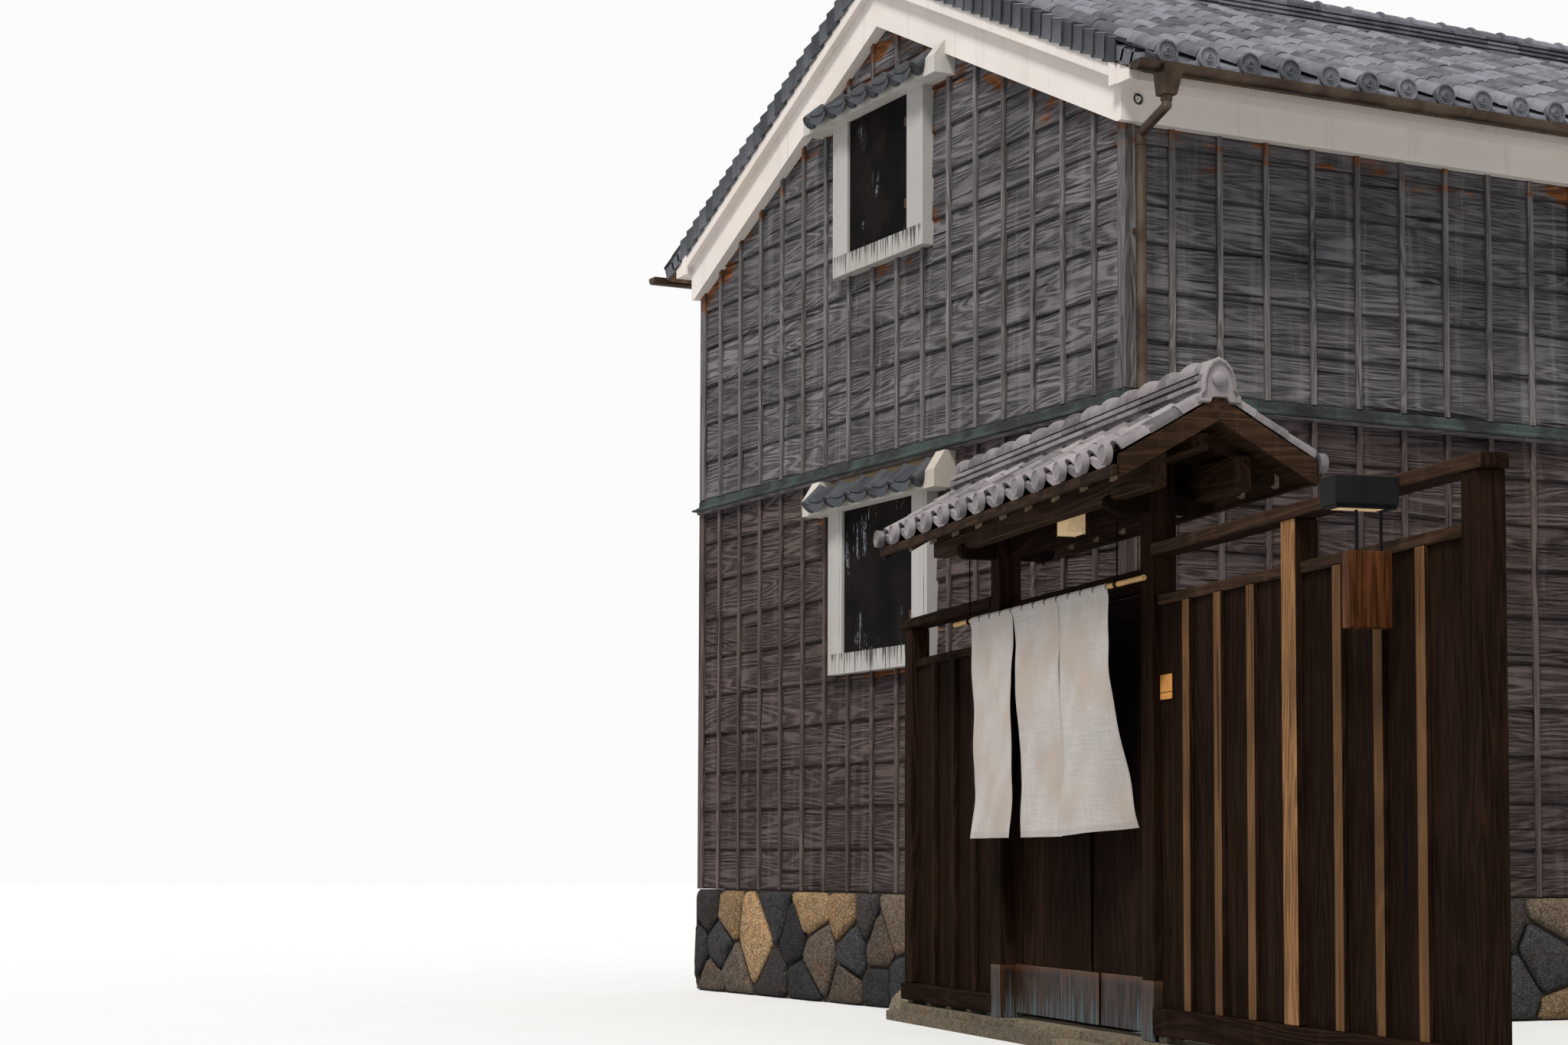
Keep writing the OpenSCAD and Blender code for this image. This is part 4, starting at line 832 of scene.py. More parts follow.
def board(shape, side, u0, u1, z0, z1, gaps):
    """A lapped board, thin at its head, with a worn wavy foot. Its head follows the gable's slope."""
    lap = setting("siding").lap
    count = max(1, round((u1 - u0) / 0.12))
    key = shape.random.uniform(0, 99)
    cup = shape.random.uniform(-0.001, 0.0035)
    rings = []
    for k in range(count + 1):
        u = u0 + (u1 - u0) * k / count
        head = min(z1 + 0.012, side.top(u))
        foot = min(z0 + 0.0028 * wavy(key, u * 2.3, 0), head - 0.0005)
        front = -BATTEN_DEPTH + lap + 0.0022 * wavy(key, u * 1.6, 5)
        tall = max(head - foot, 0.0005)
        fall = -lap * min(1.0, tall / max(z1 - z0, 0.01))
        rings.append([side.at(u, e, z) for e, z in (
            (front - 0.002, foot), (front, foot + tall * 0.02),
            (front + fall * 0.1 + cup * 0.5, foot + tall * 0.1),
            (front + fall * 0.86 + cup, foot + tall * 0.86),
            (front + fall, head), (REAR, head), (REAR, foot))])
    tone = min(1, max(0, shape.random.gauss(0.5, 0.24)))
    # Edge 1 at the foot and the head: painted shade under the laps
    loft(shape, rings, tone, side.along, UP, edges=[1.0, 0.98, 0.42, 0.4, 1.0, 0.5, 0.5])
    shape.values["bare"] += [bare_value(side, p, gaps) for ring in rings for p in ring]


def bare_value(side, p, gaps):
    """How much of a point lies in the shelter of the verge, the eaves or a window's head."""
    u = side.along_it(p)
    shelter = max(0.0, 1 - (side.top(u) - p.z) / 0.34)
    for a, b, low, high in gaps[1:]:
        if low - 0.05 < p.z < high + 0.05:
            shelter = max(shelter, 0.7 * max(0.0, 1 - max(a - u, u - b) / 0.16))
    wave = 0.5 + wavy(u * 1.3, p.z * 5.0, len(side.name))
    return max(0.0, min(1.0, shelter * (0.35 + wave)))


def siding(side, material, seed):
    """All boards of one side. Joints lie behind the battens, and short pieces fill the strips at windows."""
    shape = Shape(seed)
    shape.values["bare"] = []
    gaps = holes(side)
    pitch = side.length / batten_bays(side)
    for z0, z1 in courses():
        for start_u, end_u in free_runs(CORNER_W - 0.01, side.length - CORNER_W + 0.01, z0, z1, gaps):
            a = start_u
            while a < end_u - 0.01:
                b = (math.floor(a / pitch + 0.001) + shape.random.choice((2, 3, 3, 4, 5, 6))) * pitch
                b = end_u if end_u - b < 1.4 * pitch else b
                if max(side.top(a), side.top(b), side.top((a + b) / 2)) > z0 + TOUCH:
                    left, right = trimmed(side, a, b, z0)
                    if right - left > 0.01:
                        board(shape, side, left, right, z0, z1, gaps)
                a = b
        for a, b, low, high in gaps[1:]:
            for foot, head in ((z0, min(low, z1)), (max(high, z0), z1)):
                if 0.015 <= head - foot <= z1 - z0 - TOUCH:
                    for left, right in free_runs(a, b, foot, head, gaps):
                        board(shape, side, left, right, foot, head, gaps)
    return shape.object(side.name + "_boards", [material], slot="weathered_boards")


def trimmed(side, a, b, foot):
    """Cuts a run where the gable's slope falls below the board's foot."""
    if not side.gable or foot <= WALL_TOP:
        return a, b
    reach = HALF - (foot + 0.002 - WALL_TOP) / PITCH
    return max(a, HALF - reach), min(b, HALF + reach)


def batten_bays(side):
    """Number of bays between the battens of a side, as wide as those of a gable."""
    return round(side.length / (2 * HALF / setting("siding").gable_bays))


def battens(side, material, seed):
    """Battens over the boards, and corner boards."""
    shape = Shape(seed)
    gaps = holes(side)
    bays = batten_bays(side)
    batten_w = setting("siding").batten_w
    places = [(side.length * k / bays, batten_w, -0.001) for k in range(1, bays)]
    places += [(CORNER_W / 2, CORNER_W, 0.0), (side.length - CORNER_W / 2, CORNER_W, 0.0)]
    for mid, width, front in places:
        for z0, z1 in upright_runs(mid - width / 2, mid + width / 2, gaps, side):
            upright_strip(shape, side, mid, width, front, z0, z1)
    shape.values["bare"] = [max(0.0, 1 - (side.top(side.along_it(p)) - p.z) / 0.3) for p in shape.points]
    shape.object(side.name + "_battens", [material], slot="weathered_boards")


def upright_strip(shape, side, mid, width, front, z0, z1):
    """One batten, a little crooked, whose head follows the gable's slope."""
    count = max(1, round((z1 - z0) / 0.3))
    key = shape.random.uniform(0, 99)
    tone = min(1, max(0, shape.random.gauss(0.5, 0.2)))
    half, chamfer, foot = width / 2, 0.003, -0.034
    outline = [(-half, foot), (-half, -chamfer), (-half + chamfer, 0), (half - chamfer, 0), (half, -chamfer),
               (half, foot)]
    rings = []
    for k in range(count + 1):
        z = z0 + (z1 - z0) * k / count
        bend = 0.0025 * wavy(key, z * 0.9, 2) if 0 < k < count else 0
        rings.append([side.at(mid + x + bend, front + e, min(z, side.top(mid + x))) for x, e in outline])
    # Edge values are highest at the sides next to the boards: painted shade beside the batten
    loft(shape, rings, tone, UP, side.along, edges=[0.9, 0.7, 0.3, 0.3, 0.7, 0.9])


def between(here, there, share):
    """The flat point that lies a share of the way from one to another."""
    return here[0] + (there[0] - here[0]) * share, here[1] + (there[1] - here[1]) * share


def beyond(p, point, normal):
    """How far a flat point lies outside a line."""
    return (p[0] - point[0]) * normal[0] + (p[1] - point[1]) * normal[1]


def next_ones(cell):
    """Each corner of an outline with the one after it."""
    return zip(cell, cell[1:] + cell[:1])


def clip(cell, point, normal):
    """The part of a flat outline on the inner side of a line."""
    kept = []
    for here, after in next_ones(cell):
        a, b = beyond(here, point, normal), beyond(after, point, normal)
        if a <= 0:
            kept.append(here)
        if (a < 0 < b) or (b < 0 < a):
            kept.append(between(here, after, a / (a - b)))
    return kept


def rubble_cells(width, height, size, chance):
    """Outlines of fitted stones: each is the ground nearest to its own middle."""
    rows = max(2, round(height / (size * 0.52)))
    seeds = []
    for r in range(rows):
        for c in range(-1, round(width / size) + 1):
            u = (c + 0.5 + (r % 2) * 0.5 + chance.uniform(-0.34, 0.34)) * size
            z = (r + 0.5 + chance.uniform(-0.32, 0.32)) * height / rows
            seeds.append((u, z, 1 + chance.uniform(-0.3, 0.3)))
    cells = []
    for u, z, pull in seeds:
        left, right = max(0, u - 1), min(width, u + 1)
        cell = [(left, 0), (right, 0), (right, height), (left, height)]
        if u < -0.2 or u > width + 0.2 or right <= left:
            continue
        for v, y, other in seeds:
            if (v, y) == (u, z) or abs(v - u) > 1.2:
                continue
            away = math.hypot(v - u, y - z)
            share = 0.5 * (1 + (pull - other) * 0.35)
            cell = clip(cell, between((u, z), (v, y), share), ((v - u) / away, (y - z) / away))
            if len(cell) < 3:
                break
        if len(cell) >= 3:
            cells.append(cell)
    return cells


def middle_of(cell):
    return sum(p[0] for p in cell) / len(cell), sum(p[1] for p in cell) / len(cell)


def rounded(cell, inset, steps=4, keep=0.2):
    """A stone's outline, drawn in by its joint and rounded at its corners."""
    middle = middle_of(cell)
    shrunk = cell
    for here, after in next_ones(cell):
        du, dz = after[0] - here[0], after[1] - here[1]
        size = math.hypot(du, dz)
        if size < 0.001:
            continue
        normal = (dz / size, -du / size)
        if beyond(middle, here, normal) > 0:
            normal = (-normal[0], -normal[1])
        shrunk = clip(shrunk, (here[0] - normal[0] * inset, here[1] - normal[1] * inset), normal)
    if len(shrunk) < 3:
        return []
    points = []
    for i, (here, after) in enumerate(next_ones(shrunk)):
        first, last = between(here, shrunk[i - 1], keep), between(here, after, keep)
        for t in (k / steps for k in range(steps + 1)):
            points.append(tuple((1 - t) ** 2 * a + 2 * t * (1 - t) * b + t * t * c
                                for a, b, c in zip(first, here, last)))
    return points


def rubble(side, material, seed):
    """Fieldstones of the plinth on one side, set in mortar."""
    s = setting("stones")
    shape = Shape(seed)
    shape.values["warm"] = []
    depth, height = -PLINTH[0].y, PLINTH[1].z
    # Share of the outline, how far it stands out, and edge value, from the rear to the swelling face. High
    # edge values near the rear take painted shade at the joints
    layers = [(1.0, -0.05, 1.0), (1.0, -0.02, 1.0), (0.975, -0.004, 0.85), (0.92, 0.36, 0.45),
              (0.81, 0.7, 0.3), (0.62, 0.92, 0.3), (0.37, 1.0, 0.3), (0.13, 1.0, 0.3)]
    for cell in rubble_cells(side.length + 2 * depth, height, s.block, shape.random):
        outline = rounded(cell, s.joint / 2)
        if len(outline) < 6:
            continue
        cu, cz = middle_of(outline)
        swell = shape.random.uniform(0.022, 0.038)
        lean = [shape.random.uniform(-0.03, 0.03) for _ in range(2)]
        key = shape.random.uniform(0, 90)
        low_down = cz < height * 0.6
        warm = shape.random.choice((0.0, 0.0, 0.05, 0.2, 0.8) if low_down else (0.0, 0.05, 0.3, 0.9, 1.0))
        tone = shape.random.uniform(0.1, 0.9)
        rings = []
        for share, rise, _ in layers:
            ring = []
            for u, z in outline:
                pu, pz = cu + (u - cu) * share, cz + (z - cz) * share
                out = rise
                if rise > 0:
                    out = rise * swell + 0.012 * wavy(pu * 8 + key, pz * 8, key)
                    out += 0.006 * wavy(pu * 24 + key, pz * 24, key)
                    out += (pu - cu) * lean[0] + (pz - cz) * lean[1]
                ring.append(side.at(pu - depth, min(out, 0.045), pz))
            rings.append(ring)
        loft(shape, rings, tone, side.along, UP, edges=[edge for _, _, edge in layers for _ in outline])
        shape.values["warm"] += [warm] * len(outline) * len(layers)
    shape.object("plinth_stones_" + side.name, [material], smooth=50, slot="fieldstone")


class Slope:
    """A roof slope: s runs up it from the eave, u along the eave, n stands out of it."""

    def __init__(self, eave, along, inward, pitch):
        self.eave, self.along = Vector(eave), along
        self.up = (inward + UP * pitch).normalized()
        self.normal = along.cross(self.up).normalized()
        if self.normal.z < 0:
            self.normal = -self.normal

    def at(self, u, s, n):
        return self.eave + self.along * u + self.up * s + self.normal * n


def pan_tile(shape, slope, u, width, s0, s1, base, sag, thick=0.018, rise=0.014):
    """A curved flat tile, whose foot rides on the tile below it."""
    shares = [k / 6 for k in range(7)]
    across = [(-width / 2 + width * k, -sag * math.sin(math.pi * k)) for k in shares]
    lift = shape.random.uniform(-0.002, 0.003)
    turn = shape.random.uniform(-0.004, 0.004)
    foot = [(s0 + 0.012, rise - thick), (s0, rise - thick), (s0 - 0.002, rise - 0.003), (s0 + 0.004, rise)]
    rings = [[slope.at(u + x + turn, s, base + y + raised + lift) for x, y in across]
             for s, raised in [*foot, (s1, 0.0)]]
    # Edge values rise towards the trough's middle, where the clay paints shade between the rolls
    edges = [0.72 - 0.3 * abs(2 * k - 1) for k in shares]
    loft(shape, rings, shape.random.uniform(0.1, 0.9), slope.up, slope.along, edges=edges, open_ring=True)


def roll_tile(shape, slope, u, s0, s1, base, radius):
    """A half round tile, a little wider at its foot, where it covers the next one."""
    squat, lip, steps = 0.92, 0.006, 9
    aside = shape.random.uniform(-0.003, 0.003)
    lift = shape.random.uniform(-0.002, 0.002)
    tone = shape.random.uniform(0.15, 0.95)
    turns = [math.pi * k / steps for k in range(steps + 1)]
    rings = []
    for s, grow in ((s0 + 0.006, -0.018), (s0, -0.01), (s0 - 0.001, lip - 0.002), (s0 + 0.005, lip),
                    (s1, 0.0)):
        r = radius + grow
        rings.append([slope.at(u + aside - r * math.cos(t), s, base + lift + r * math.sin(t) * squat)
                      for t in turns])
    loft(shape, rings, tone, slope.up, slope.along, open_ring=True)


def turned(shape, centre, out, side, up, radius, profile, count, tone):
    """A round form: the profile holds how far each ring stands out, and its share of the radius."""
    rings = [circle(centre + out * e, side, up, radius * r, count) for e, r in profile]
    loft(shape, rings, tone, side, up)


def disc_end(shape, centre, out, up, radius, detail=True, depth=0.03):
    """The round end of an eave tile: a rim, a ring of beads and three commas inside."""
    out, up = Vector(out).normalized(), Vector(up).normalized()
    side = out.cross(up).normalized()
    tone = shape.random.uniform(0.3, 0.9)
    profile = [(-depth, 0.96), (0.0, 1.0), (0.005, 0.97), (0.006, 0.86), (0.002, 0.8), (0.002, 0.3)]
    if detail:
        profile = [(-depth, 0.94), (0.0, 1.0), (0.006, 0.99), (0.008, 0.95), (0.008, 0.84), (0.0, 0.8),
                   (0.0, 0.3)]
    turned(shape, centre, out, side, up, radius, profile, 26, tone)
    if detail:
        for place in circle(centre, side, up, radius * 0.7, 18):
            knob(shape, place, out, up, radius * 0.065, tone)
        swirl(shape, centre, side, up, radius * 0.52, tone)


def knob(shape, centre, out, up, radius, tone, sides=7):
    """A small round bead."""
    profile = [(radius * e, r) for e, r in ((-0.3, 1.0), (0.35, 0.9), (0.75, 0.55), (0.9, 0.2))]
    turned(shape, centre, out, out.cross(up), up, radius, profile, sides, tone)


def swirl(shape, centre, side, up, radius, tone):
    """Three plain commas that turn round the middle, as on common roof tiles."""
    arms, steps = 3, 11
    for arm in range(arms):
        path, widths = [], []
        for share in (k / steps for k in range(steps + 1)):
            angle = 2 * math.pi * arm / arms + share * 3.4
            reach = radius * (0.28 + 0.66 * share)
            path.append(centre + (side * math.cos(angle) + up * math.sin(angle)) * reach)
            widths.append(radius * (0.27 * (1 - share) ** 0.7 + 0.03))
        tube(shape, path, widths, sides=7, tone=tone)


def tile_field(shape, slope, places, length, course, radius, base, sag=0.028, lift=0.02, start=0.0):
    """Courses of curved flats with rounds over their joints."""
    rows = max(1, round(length / course))
    step = length / rows
    for row in range(rows):
        s0, s1 = row * step, (row + 1) * step + 0.03
        for a, b in pairs(places):
            pan_tile(shape, slope, (a + b) / 2, b - a - radius * 0.7, s0, s1, base, sag)
        for u in places:
            roll_tile(shape, slope, u, s0 + (start if row == 0 else 0), s1 - 0.02, lift, radius)


def eave_plates(shape, slope, places, radius, base, drop, thick=0.018, scallop=0.0):
    """Front plates of the lowest flats, each with a curved lower edge."""
    steps = 8
    for a, b in pairs(places):
        width = b - a - radius * 0.8
        tone = shape.random.uniform(0.3, 0.95)
        rings = []
        for s, low in ((thick, False), (0.0, False), (0.0, True), (thick, True)):
            ring = []
            for share in (k / steps for k in range(steps + 1)):
                bow = math.sin(math.pi * share)
                top = slope.at((a + b) / 2 - width / 2 + width * share, s - 0.004, base - 0.028 * bow + 0.014)
                ring.append(top - UP * (drop + scallop * bow) if low else top)
            rings.append(ring)
        loft(shape, rings + [rings[0]], tone, slope.along, UP, open_ring=True)


def house_tiles(material, under_material):
    """Tile field, eave ends, verge plates and the boards below them."""
    t = setting("tiles")
    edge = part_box("gutter_right")[0].x
    eave_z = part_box("roof_right")[0].z + 0.09 / COS_PITCH
    length = edge / COS_PITCH - 0.1
    places = even_places(VERGE_ROLL, LENGTH - VERGE_ROLL, t.column)
    boards = even_places(0.0, length + 0.09, 0.16)
    foot, top, verge = -0.09, -0.028, -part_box("front_gable_plaster")[0].y
    roll_up, base = 0.028, 0.012
    plates = Shape(43)
    for name, out_dir, seed in (("right", RIGHT, 41), ("left", -RIGHT, 42)):
        slope = Slope(out_dir * edge + UP * eave_z, BACK, -out_dir, PITCH)
        shape = Shape(seed)
        tile_field(shape, slope, places, length, t.course, t.roll_r, base, lift=roll_up, start=0.022)
        eave_plates(shape, slope, places, t.roll_r, base, 0.035)
        for out in (-1, 1):
            verge_edge(shape, plates, slope, out, length)
        made = shape.object("roof_tiles_" + name, [material], smooth=38, slot="roof_tile")
        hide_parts("roof_" + name)
        ends = Shape(seed + 10)
        for u in places:
            disc_end(ends, slope.at(u, 0, roll_up + 0.004) + out_dir * 0.01, out_dir, UP, t.roll_r * 1.06)
        ends.object("eave_discs_" + name, [material], smooth=40, slot="roof_tile")
        bed = Shape(seed + 20)
        for s0, s1 in pairs(boards):
            rings = [[slope.at(u, s, n) for s, n in rectangle(s0, foot, s1 - 0.002, top)]
                     for u in (-verge, LENGTH / 2, LENGTH + verge)]
            loft(bed, rings, bed.random.uniform(0.1, 0.9), BACK, slope.up)
        bed.object("roof_boards_" + name, [under_material], slot="roof_tile")
    made = plates.object("verge_plates", [material], smooth=30, slot="roof_tile")
    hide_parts("verge_tiles")


def verge_edge(shape, plates, slope, out, length):
    """Side tiles that overlap up the verge, each with a ledge and a hanging plate, over curved flats."""
    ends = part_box("verge_tiles")
    start = (abs(slope.eave.x) - ends[1].x) / COS_PITCH
    outer, roll_u = (ends[0].y, VERGE_ROLL) if out < 0 else (ends[1].y, LENGTH - VERGE_ROLL)
    drop, thick, notch = 0.135, 0.015, 0.024
    for s0, s1 in pairs(even_places(start, length + 0.1, 0.118)):
        tone = plates.random.uniform(0.05, 0.95)
        rings = []
        for s, rise, stand in ((s0, 0.046, 0.004), (s0 + 0.004, 0.048, 0.006), (s1 + 0.03, 0.024, -0.008)):
            u_out = outer + out * (stand + plates.random.uniform(-0.001, 0.001))
            u_in = u_out - out * thick
            low = UP * (drop - 0.004 * (stand < 0)) * COS_PITCH
            rings.append([slope.at(roll_u, s, rise - 0.01), slope.at(u_out - out * 0.012, s, rise),
                          slope.at(u_out, s, rise - 0.008), slope.at(u_out, s, rise - notch) - low,
                          slope.at(u_in, s, rise - notch) - low, slope.at(u_in, s, rise - thick - 0.004),
                          slope.at(roll_u, s, rise - thick - 0.01)])
        # High edge values on the hanging plate's outer face and foot: painted shade below the lighter top
        loft(plates, rings, tone, slope.up, UP, edges=[0.2, 0.5, 0.9, 0.8, 0.8, 0.4, 0.2])
    u_out = outer - out * 0.004
    for s0, s1 in pairs([-0.01, start * 0.34, start * 0.67, start + 0.01]):
        rings = [[slope.at(u, s, n) for u, n in rectangle(roll_u, rise, u_out, rise - 0.085)]
                 for s, rise in ((s0, 0.012), (s0 + 0.004, 0.016), (s1 + 0.02, -0.006))]
        loft(plates, rings, 0.4, slope.up, UP)
    mid, width = (roll_u + outer) / 2, abs(roll_u - outer)
    for s0 in (-0.012, start * 0.4):
        s1 = s0 + start * 0.7
        pan_tile(shape, slope, mid, width, s0, s1, 0.03, 0.02, thick=0.02, rise=0.012)
        pan_tile(shape, slope, mid, width, s0 + 0.01, s1, 0.002, 0.016, thick=0.016)


def course_row(shape, start, end, side, width, height, length, tone_base=0.5, lean=0.006):
    """A course of flat ridge tiles laid end to end, with a thin drip edge on both sides."""
    along = (end - start).normalized()
    half = width / 2
    right = [(half, 1.0), (half + lean, 0.94), (half + lean, 0.42), (half - 0.02, 0.36), (half - 0.022, 0.0)]
    outline = [(-x, z * height) for x, z in (right[2], right[1], right[0])]
    outline += [(x, z * height) for x, z in right]
    outline += [(-x, z * height) for x, z in (right[4], right[3])]
    for a, b in pairs(even_places(0, (end - start).length, length)):
        tone = min(1, max(0, tone_base + shape.random.uniform(-0.3, 0.3)))
        shift = shape.random.uniform(-0.002, 0.002)
        rings = [[start + along * s + side * (x + shift) + UP * z for x, z in outline]
                 for s in (a + 0.0015, b - 0.0015)]
        loft(shape, rings, tone, along, side)


def cap_tiles(shape, start, end, side, radius, length, swell=0.012, turn=False):
    """Round ridge tiles that overlap, each with a raised collar. Turned ones lie aslant like a rope."""
    along = (end - start).normalized()
    angles = [math.pi * (1.16 * k / 12 - 0.08) for k in range(13)]
    for a, b in pairs(even_places(0, (end - start).length, length)):
        tone = shape.random.uniform(0.2, 0.95)
        profile = [(0.0, -0.014), (0.0, swell), (0.012, swell + 0.004), (0.03, swell), (0.036, 0.002),
                   ((b - a) * 0.55, 0.004), (b - a + 0.01, -0.004)]
        rings = []
        for s, grow in profile:
            ring = []
            for angle in angles:
                x, z = -(radius + grow) * math.cos(angle), (radius + grow) * math.sin(angle)
                slant = (x / radius) * 0.035 + math.sin(angle) * 0.02 if turn else 0
                ring.append(start + along * (a + s + slant) + side * x + UP * z)
            rings.append(ring)
        loft(shape, rings, tone, along, side, open_ring=True)


def end_tile(shape, centre, out, side, width, height):
    """A plain ridge end: a rounded shield on two feet with a raised rim and a boss."""
    half, depth = width / 2, 0.07
    outline = [(half * x, height * z) for x, z in (
        (-1.15, 0), (-1.2, 0.12), (-0.92, 0.24), (-0.9, 0.52), (-0.7, 0.76), (-0.38, 0.93), (0, 1),
        (0.38, 0.93), (0.7, 0.76), (0.9, 0.52), (0.92, 0.24), (1.2, 0.12), (1.15, 0),
        (0.55, 0), (0.4, 0.12), (-0.4, 0.12), (-0.55, 0))]
    middle = height * 0.45
    front = depth / 2
    rings = [[centre + out * e + side * x * share + UP * (middle + (z - middle) * share) for x, z in outline]
             for e, share in ((-front, 1.0), (front - 0.012, 1.0), (front, 0.95), (front, 0.85),
                              (front - 0.012, 0.8))]
    tone = shape.random.uniform(0.4, 0.8)
    loft(shape, rings, tone, side, UP)
    boss = centre + out * (front - 0.012) + UP * height * 0.52
    profile = [(e * half * 0.3, r) for e, r in ((0, 0.42), (0.5, 0.4), (0.85, 0.28), (1.0, 0.1))]
    turned(shape, boss, out, side, UP, half, profile, 18, tone)


def house_ridge(material):
    """Courses of flat ridge tiles under a round cap, with a plain end tile at each gable."""
    low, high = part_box("roof_ridge")
    shape = Shape(51)
    radius, rows = 0.08, 5
    foot = low.z + 0.035
    height = (high.z - radius - foot) / rows
    for k in range(rows):
        start, end = (Vector((0, y, foot + k * height)) for y in (low.y + 0.01, high.y - 0.01))
        course_row(shape, start, end, RIGHT, high.x * 2 - 0.02 - 0.016 * k, height, 0.29)
    start, end = (Vector((0, y, high.z - radius)) for y in (low.y, high.y))
    cap_tiles(shape, start, end, RIGHT, radius - 0.014, 0.27)
    for y, out in ((low.y + 0.03, -BACK), (high.y - 0.03, BACK)):
        end_tile(shape, Vector((0, y, foot - 0.06)), out, RIGHT, high.x * 1.9, high.z - foot + 0.05)
    made = shape.object("ridge_tiles", [material], smooth=38, slot="roof_tile")
    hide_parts("roof_ridge")


def canopy_tiles(material, name, node, back=False):
    """The small row of tiles between the shoulders of a window's canopy."""
    low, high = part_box(node)
    shape = Shape(len(name) * 7)
    run, edge_h = 0.075, 0.087
    rise = (high.z - low.z) * 0.72 - edge_h
    slope = Slope((0, low.y + 0.066, low.z + edge_h), RIGHT, BACK, rise / run)
    length = math.hypot(run, rise)
    places = even_places(low.x + 0.161, high.x - 0.161, 0.28)
    radius = setting("tiles").small_r * 0.98
    for a, b in pairs(places):
        pan_tile(shape, slope, (a + b) / 2, b - a - 0.05, -0.045, length, 0.03, 0.022, thick=0.024, rise=0.01)
    for u in places:
        foot = slope.at(u, -0.054 + shape.random.uniform(-0.004, 0.002), 0)
        path = [foot, foot + slope.up * 0.01, slope.at(u, length, 0)]
        tube(shape, path, [radius * 0.96, radius, radius * 0.98], 18, shape.random.uniform(0.2, 0.8))
        disc_end(shape, foot, -slope.up, slope.normal, radius, detail=False, depth=0.012)
    slope.eave = slope.at(0, -0.05, -0.004)
    eave_plates(shape, slope, places, radius * 0.9, 0.02, 0.022, thick=0.014, scallop=0.03)
    place = Matrix.Translation((0, LENGTH, 0)) @ Matrix.Rotation(math.pi, 4, "Z") if back else None
    shape.object(name, [material], smooth=40, place=place, slot="roof_tile")


def solids(node):
    """Lowest and highest corner of each solid of a node, from left to right along the fence."""
    mesh = frame["nodes"][node].data
    spots = {}
    owner = list(range(len(mesh.vertices)))

    def root(i):
        while owner[i] != i:
            owner[i] = owner[owner[i]]
            i = owner[i]
        return i

    for v in mesh.vertices:
        key = tuple(round(c, 5) for c in v.co)
        if key in spots:
            owner[root(v.index)] = root(spots[key])
        spots[key] = v.index
    for face in mesh.polygons:
        for i in face.vertices[1:]:
            owner[root(i)] = root(face.vertices[0])
    groups = {}
    for v in mesh.vertices:
        groups.setdefault(root(v.index), []).append(TO_STREET @ v.co)
    found = [span(points) for points in groups.values()]
    return sorted(found, key=lambda pair: (round(pair[0].x, 3), pair[0].z))


def sunlit_fronts_only(made):
    """Keeps the second finish, a brown that is painted sunlight, only on the faces that look at the street;
    the other faces keep the dark first finish.
    """
    to_street = TURN.to_3x3().inverted()
    for face in made.data.polygons:
        if face.material_index == 1 and (to_street @ face.normal).y > -0.5:
            face.material_index = 0


def timbers(name, node, materials, slot, seed, split=None, until=100.0):
    """Squared timbers in place of a node's plain solids. From split to until, their street faces take the
    second finish, which is painted sunlight.
    """
    shape = Shape(seed)
    for low, high in solids(node):
        index = 1 if split is not None and split < low.x < until else 0
        bar(shape, low, high, 0.006, shape.random.uniform(0.3, 0.7), 0.0015, mat=index)
    made = shape.object(name, materials, place=STREET, slot=slot)
    sunlit_fronts_only(made)
    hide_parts(node)


def fence_infill(materials, split):
    """Boards and battens of each fence bay."""
    shape = Shape(62)
    half, thick, forward = 0.035, 0.025, Vector((0, 0.02, 0))
    for low, high in solids("fence_boards"):
        low, high = low - forward, high - forward
        front = low.y + thick
        for a, b in pairs(even_places(low.x, high.x, 0.15)):
            foot = (a + 0.001, front + shape.random.uniform(0, 0.002), low.z)
            # Boards take lower tones than the battens in front of them: painted shade on the recessed boards
            tone = shape.random.uniform(0.0, 0.45)
            bar(shape, foot, (b - 0.001, high.y, high.z), 0.002, tone, 0.0006, axis=2)
        for mid in (low.x + (high.x - low.x) * k / 4 for k in (1, 2, 3)):
            # Battens right of the split take the painted sunlight finish on their street faces
            bar(shape, (mid - half, low.y, low.z), (mid + half, front, high.z), 0.003,
                shape.random.uniform(0.6, 1.0), 0.0005, axis=2, mat=1 if low.x > split else 0)
    made = shape.object("fence_infill", materials, place=STREET, slot="dark_boards")
    sunlit_fronts_only(made)
    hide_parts("fence_boards")


def street_curb(material):
    """Granite curb stones, the pads under the sills and a rounded stone at the plinth."""
    length = setting("stones").curb
    shape = Shape(63)
    end = street_box("street_stones")[1].x
    top, gap = 0.1, 0.002
    behind = street_box("gate_posts")[1].y + 0.08
    for first, front, rear, height, long in ((-0.07, -0.09, 0.0, 0.055, length * 1.35),
                                             (-0.03, -0.02, behind, top - 0.001, length)):
        for a, b in pairs(even_places(first, end, long)):
            rough_block(shape, (a + gap, front, 0), (b - gap, rear, height))
    for low, high in solids("fence_sills"):
        left = max(low.x, 0)
        step = (high.x - left - 0.14) / 4
        for u in (left + k * step for k in range(5)):
            rough_block(shape, (u + 0.02, 0.01, top - 0.004), (u + 0.12, 0.1, low.z))
    made = shape.object("curb_stones", [material], place=STREET, smooth=40, slot="granite")
    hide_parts("street_stones")
    boulder(material)


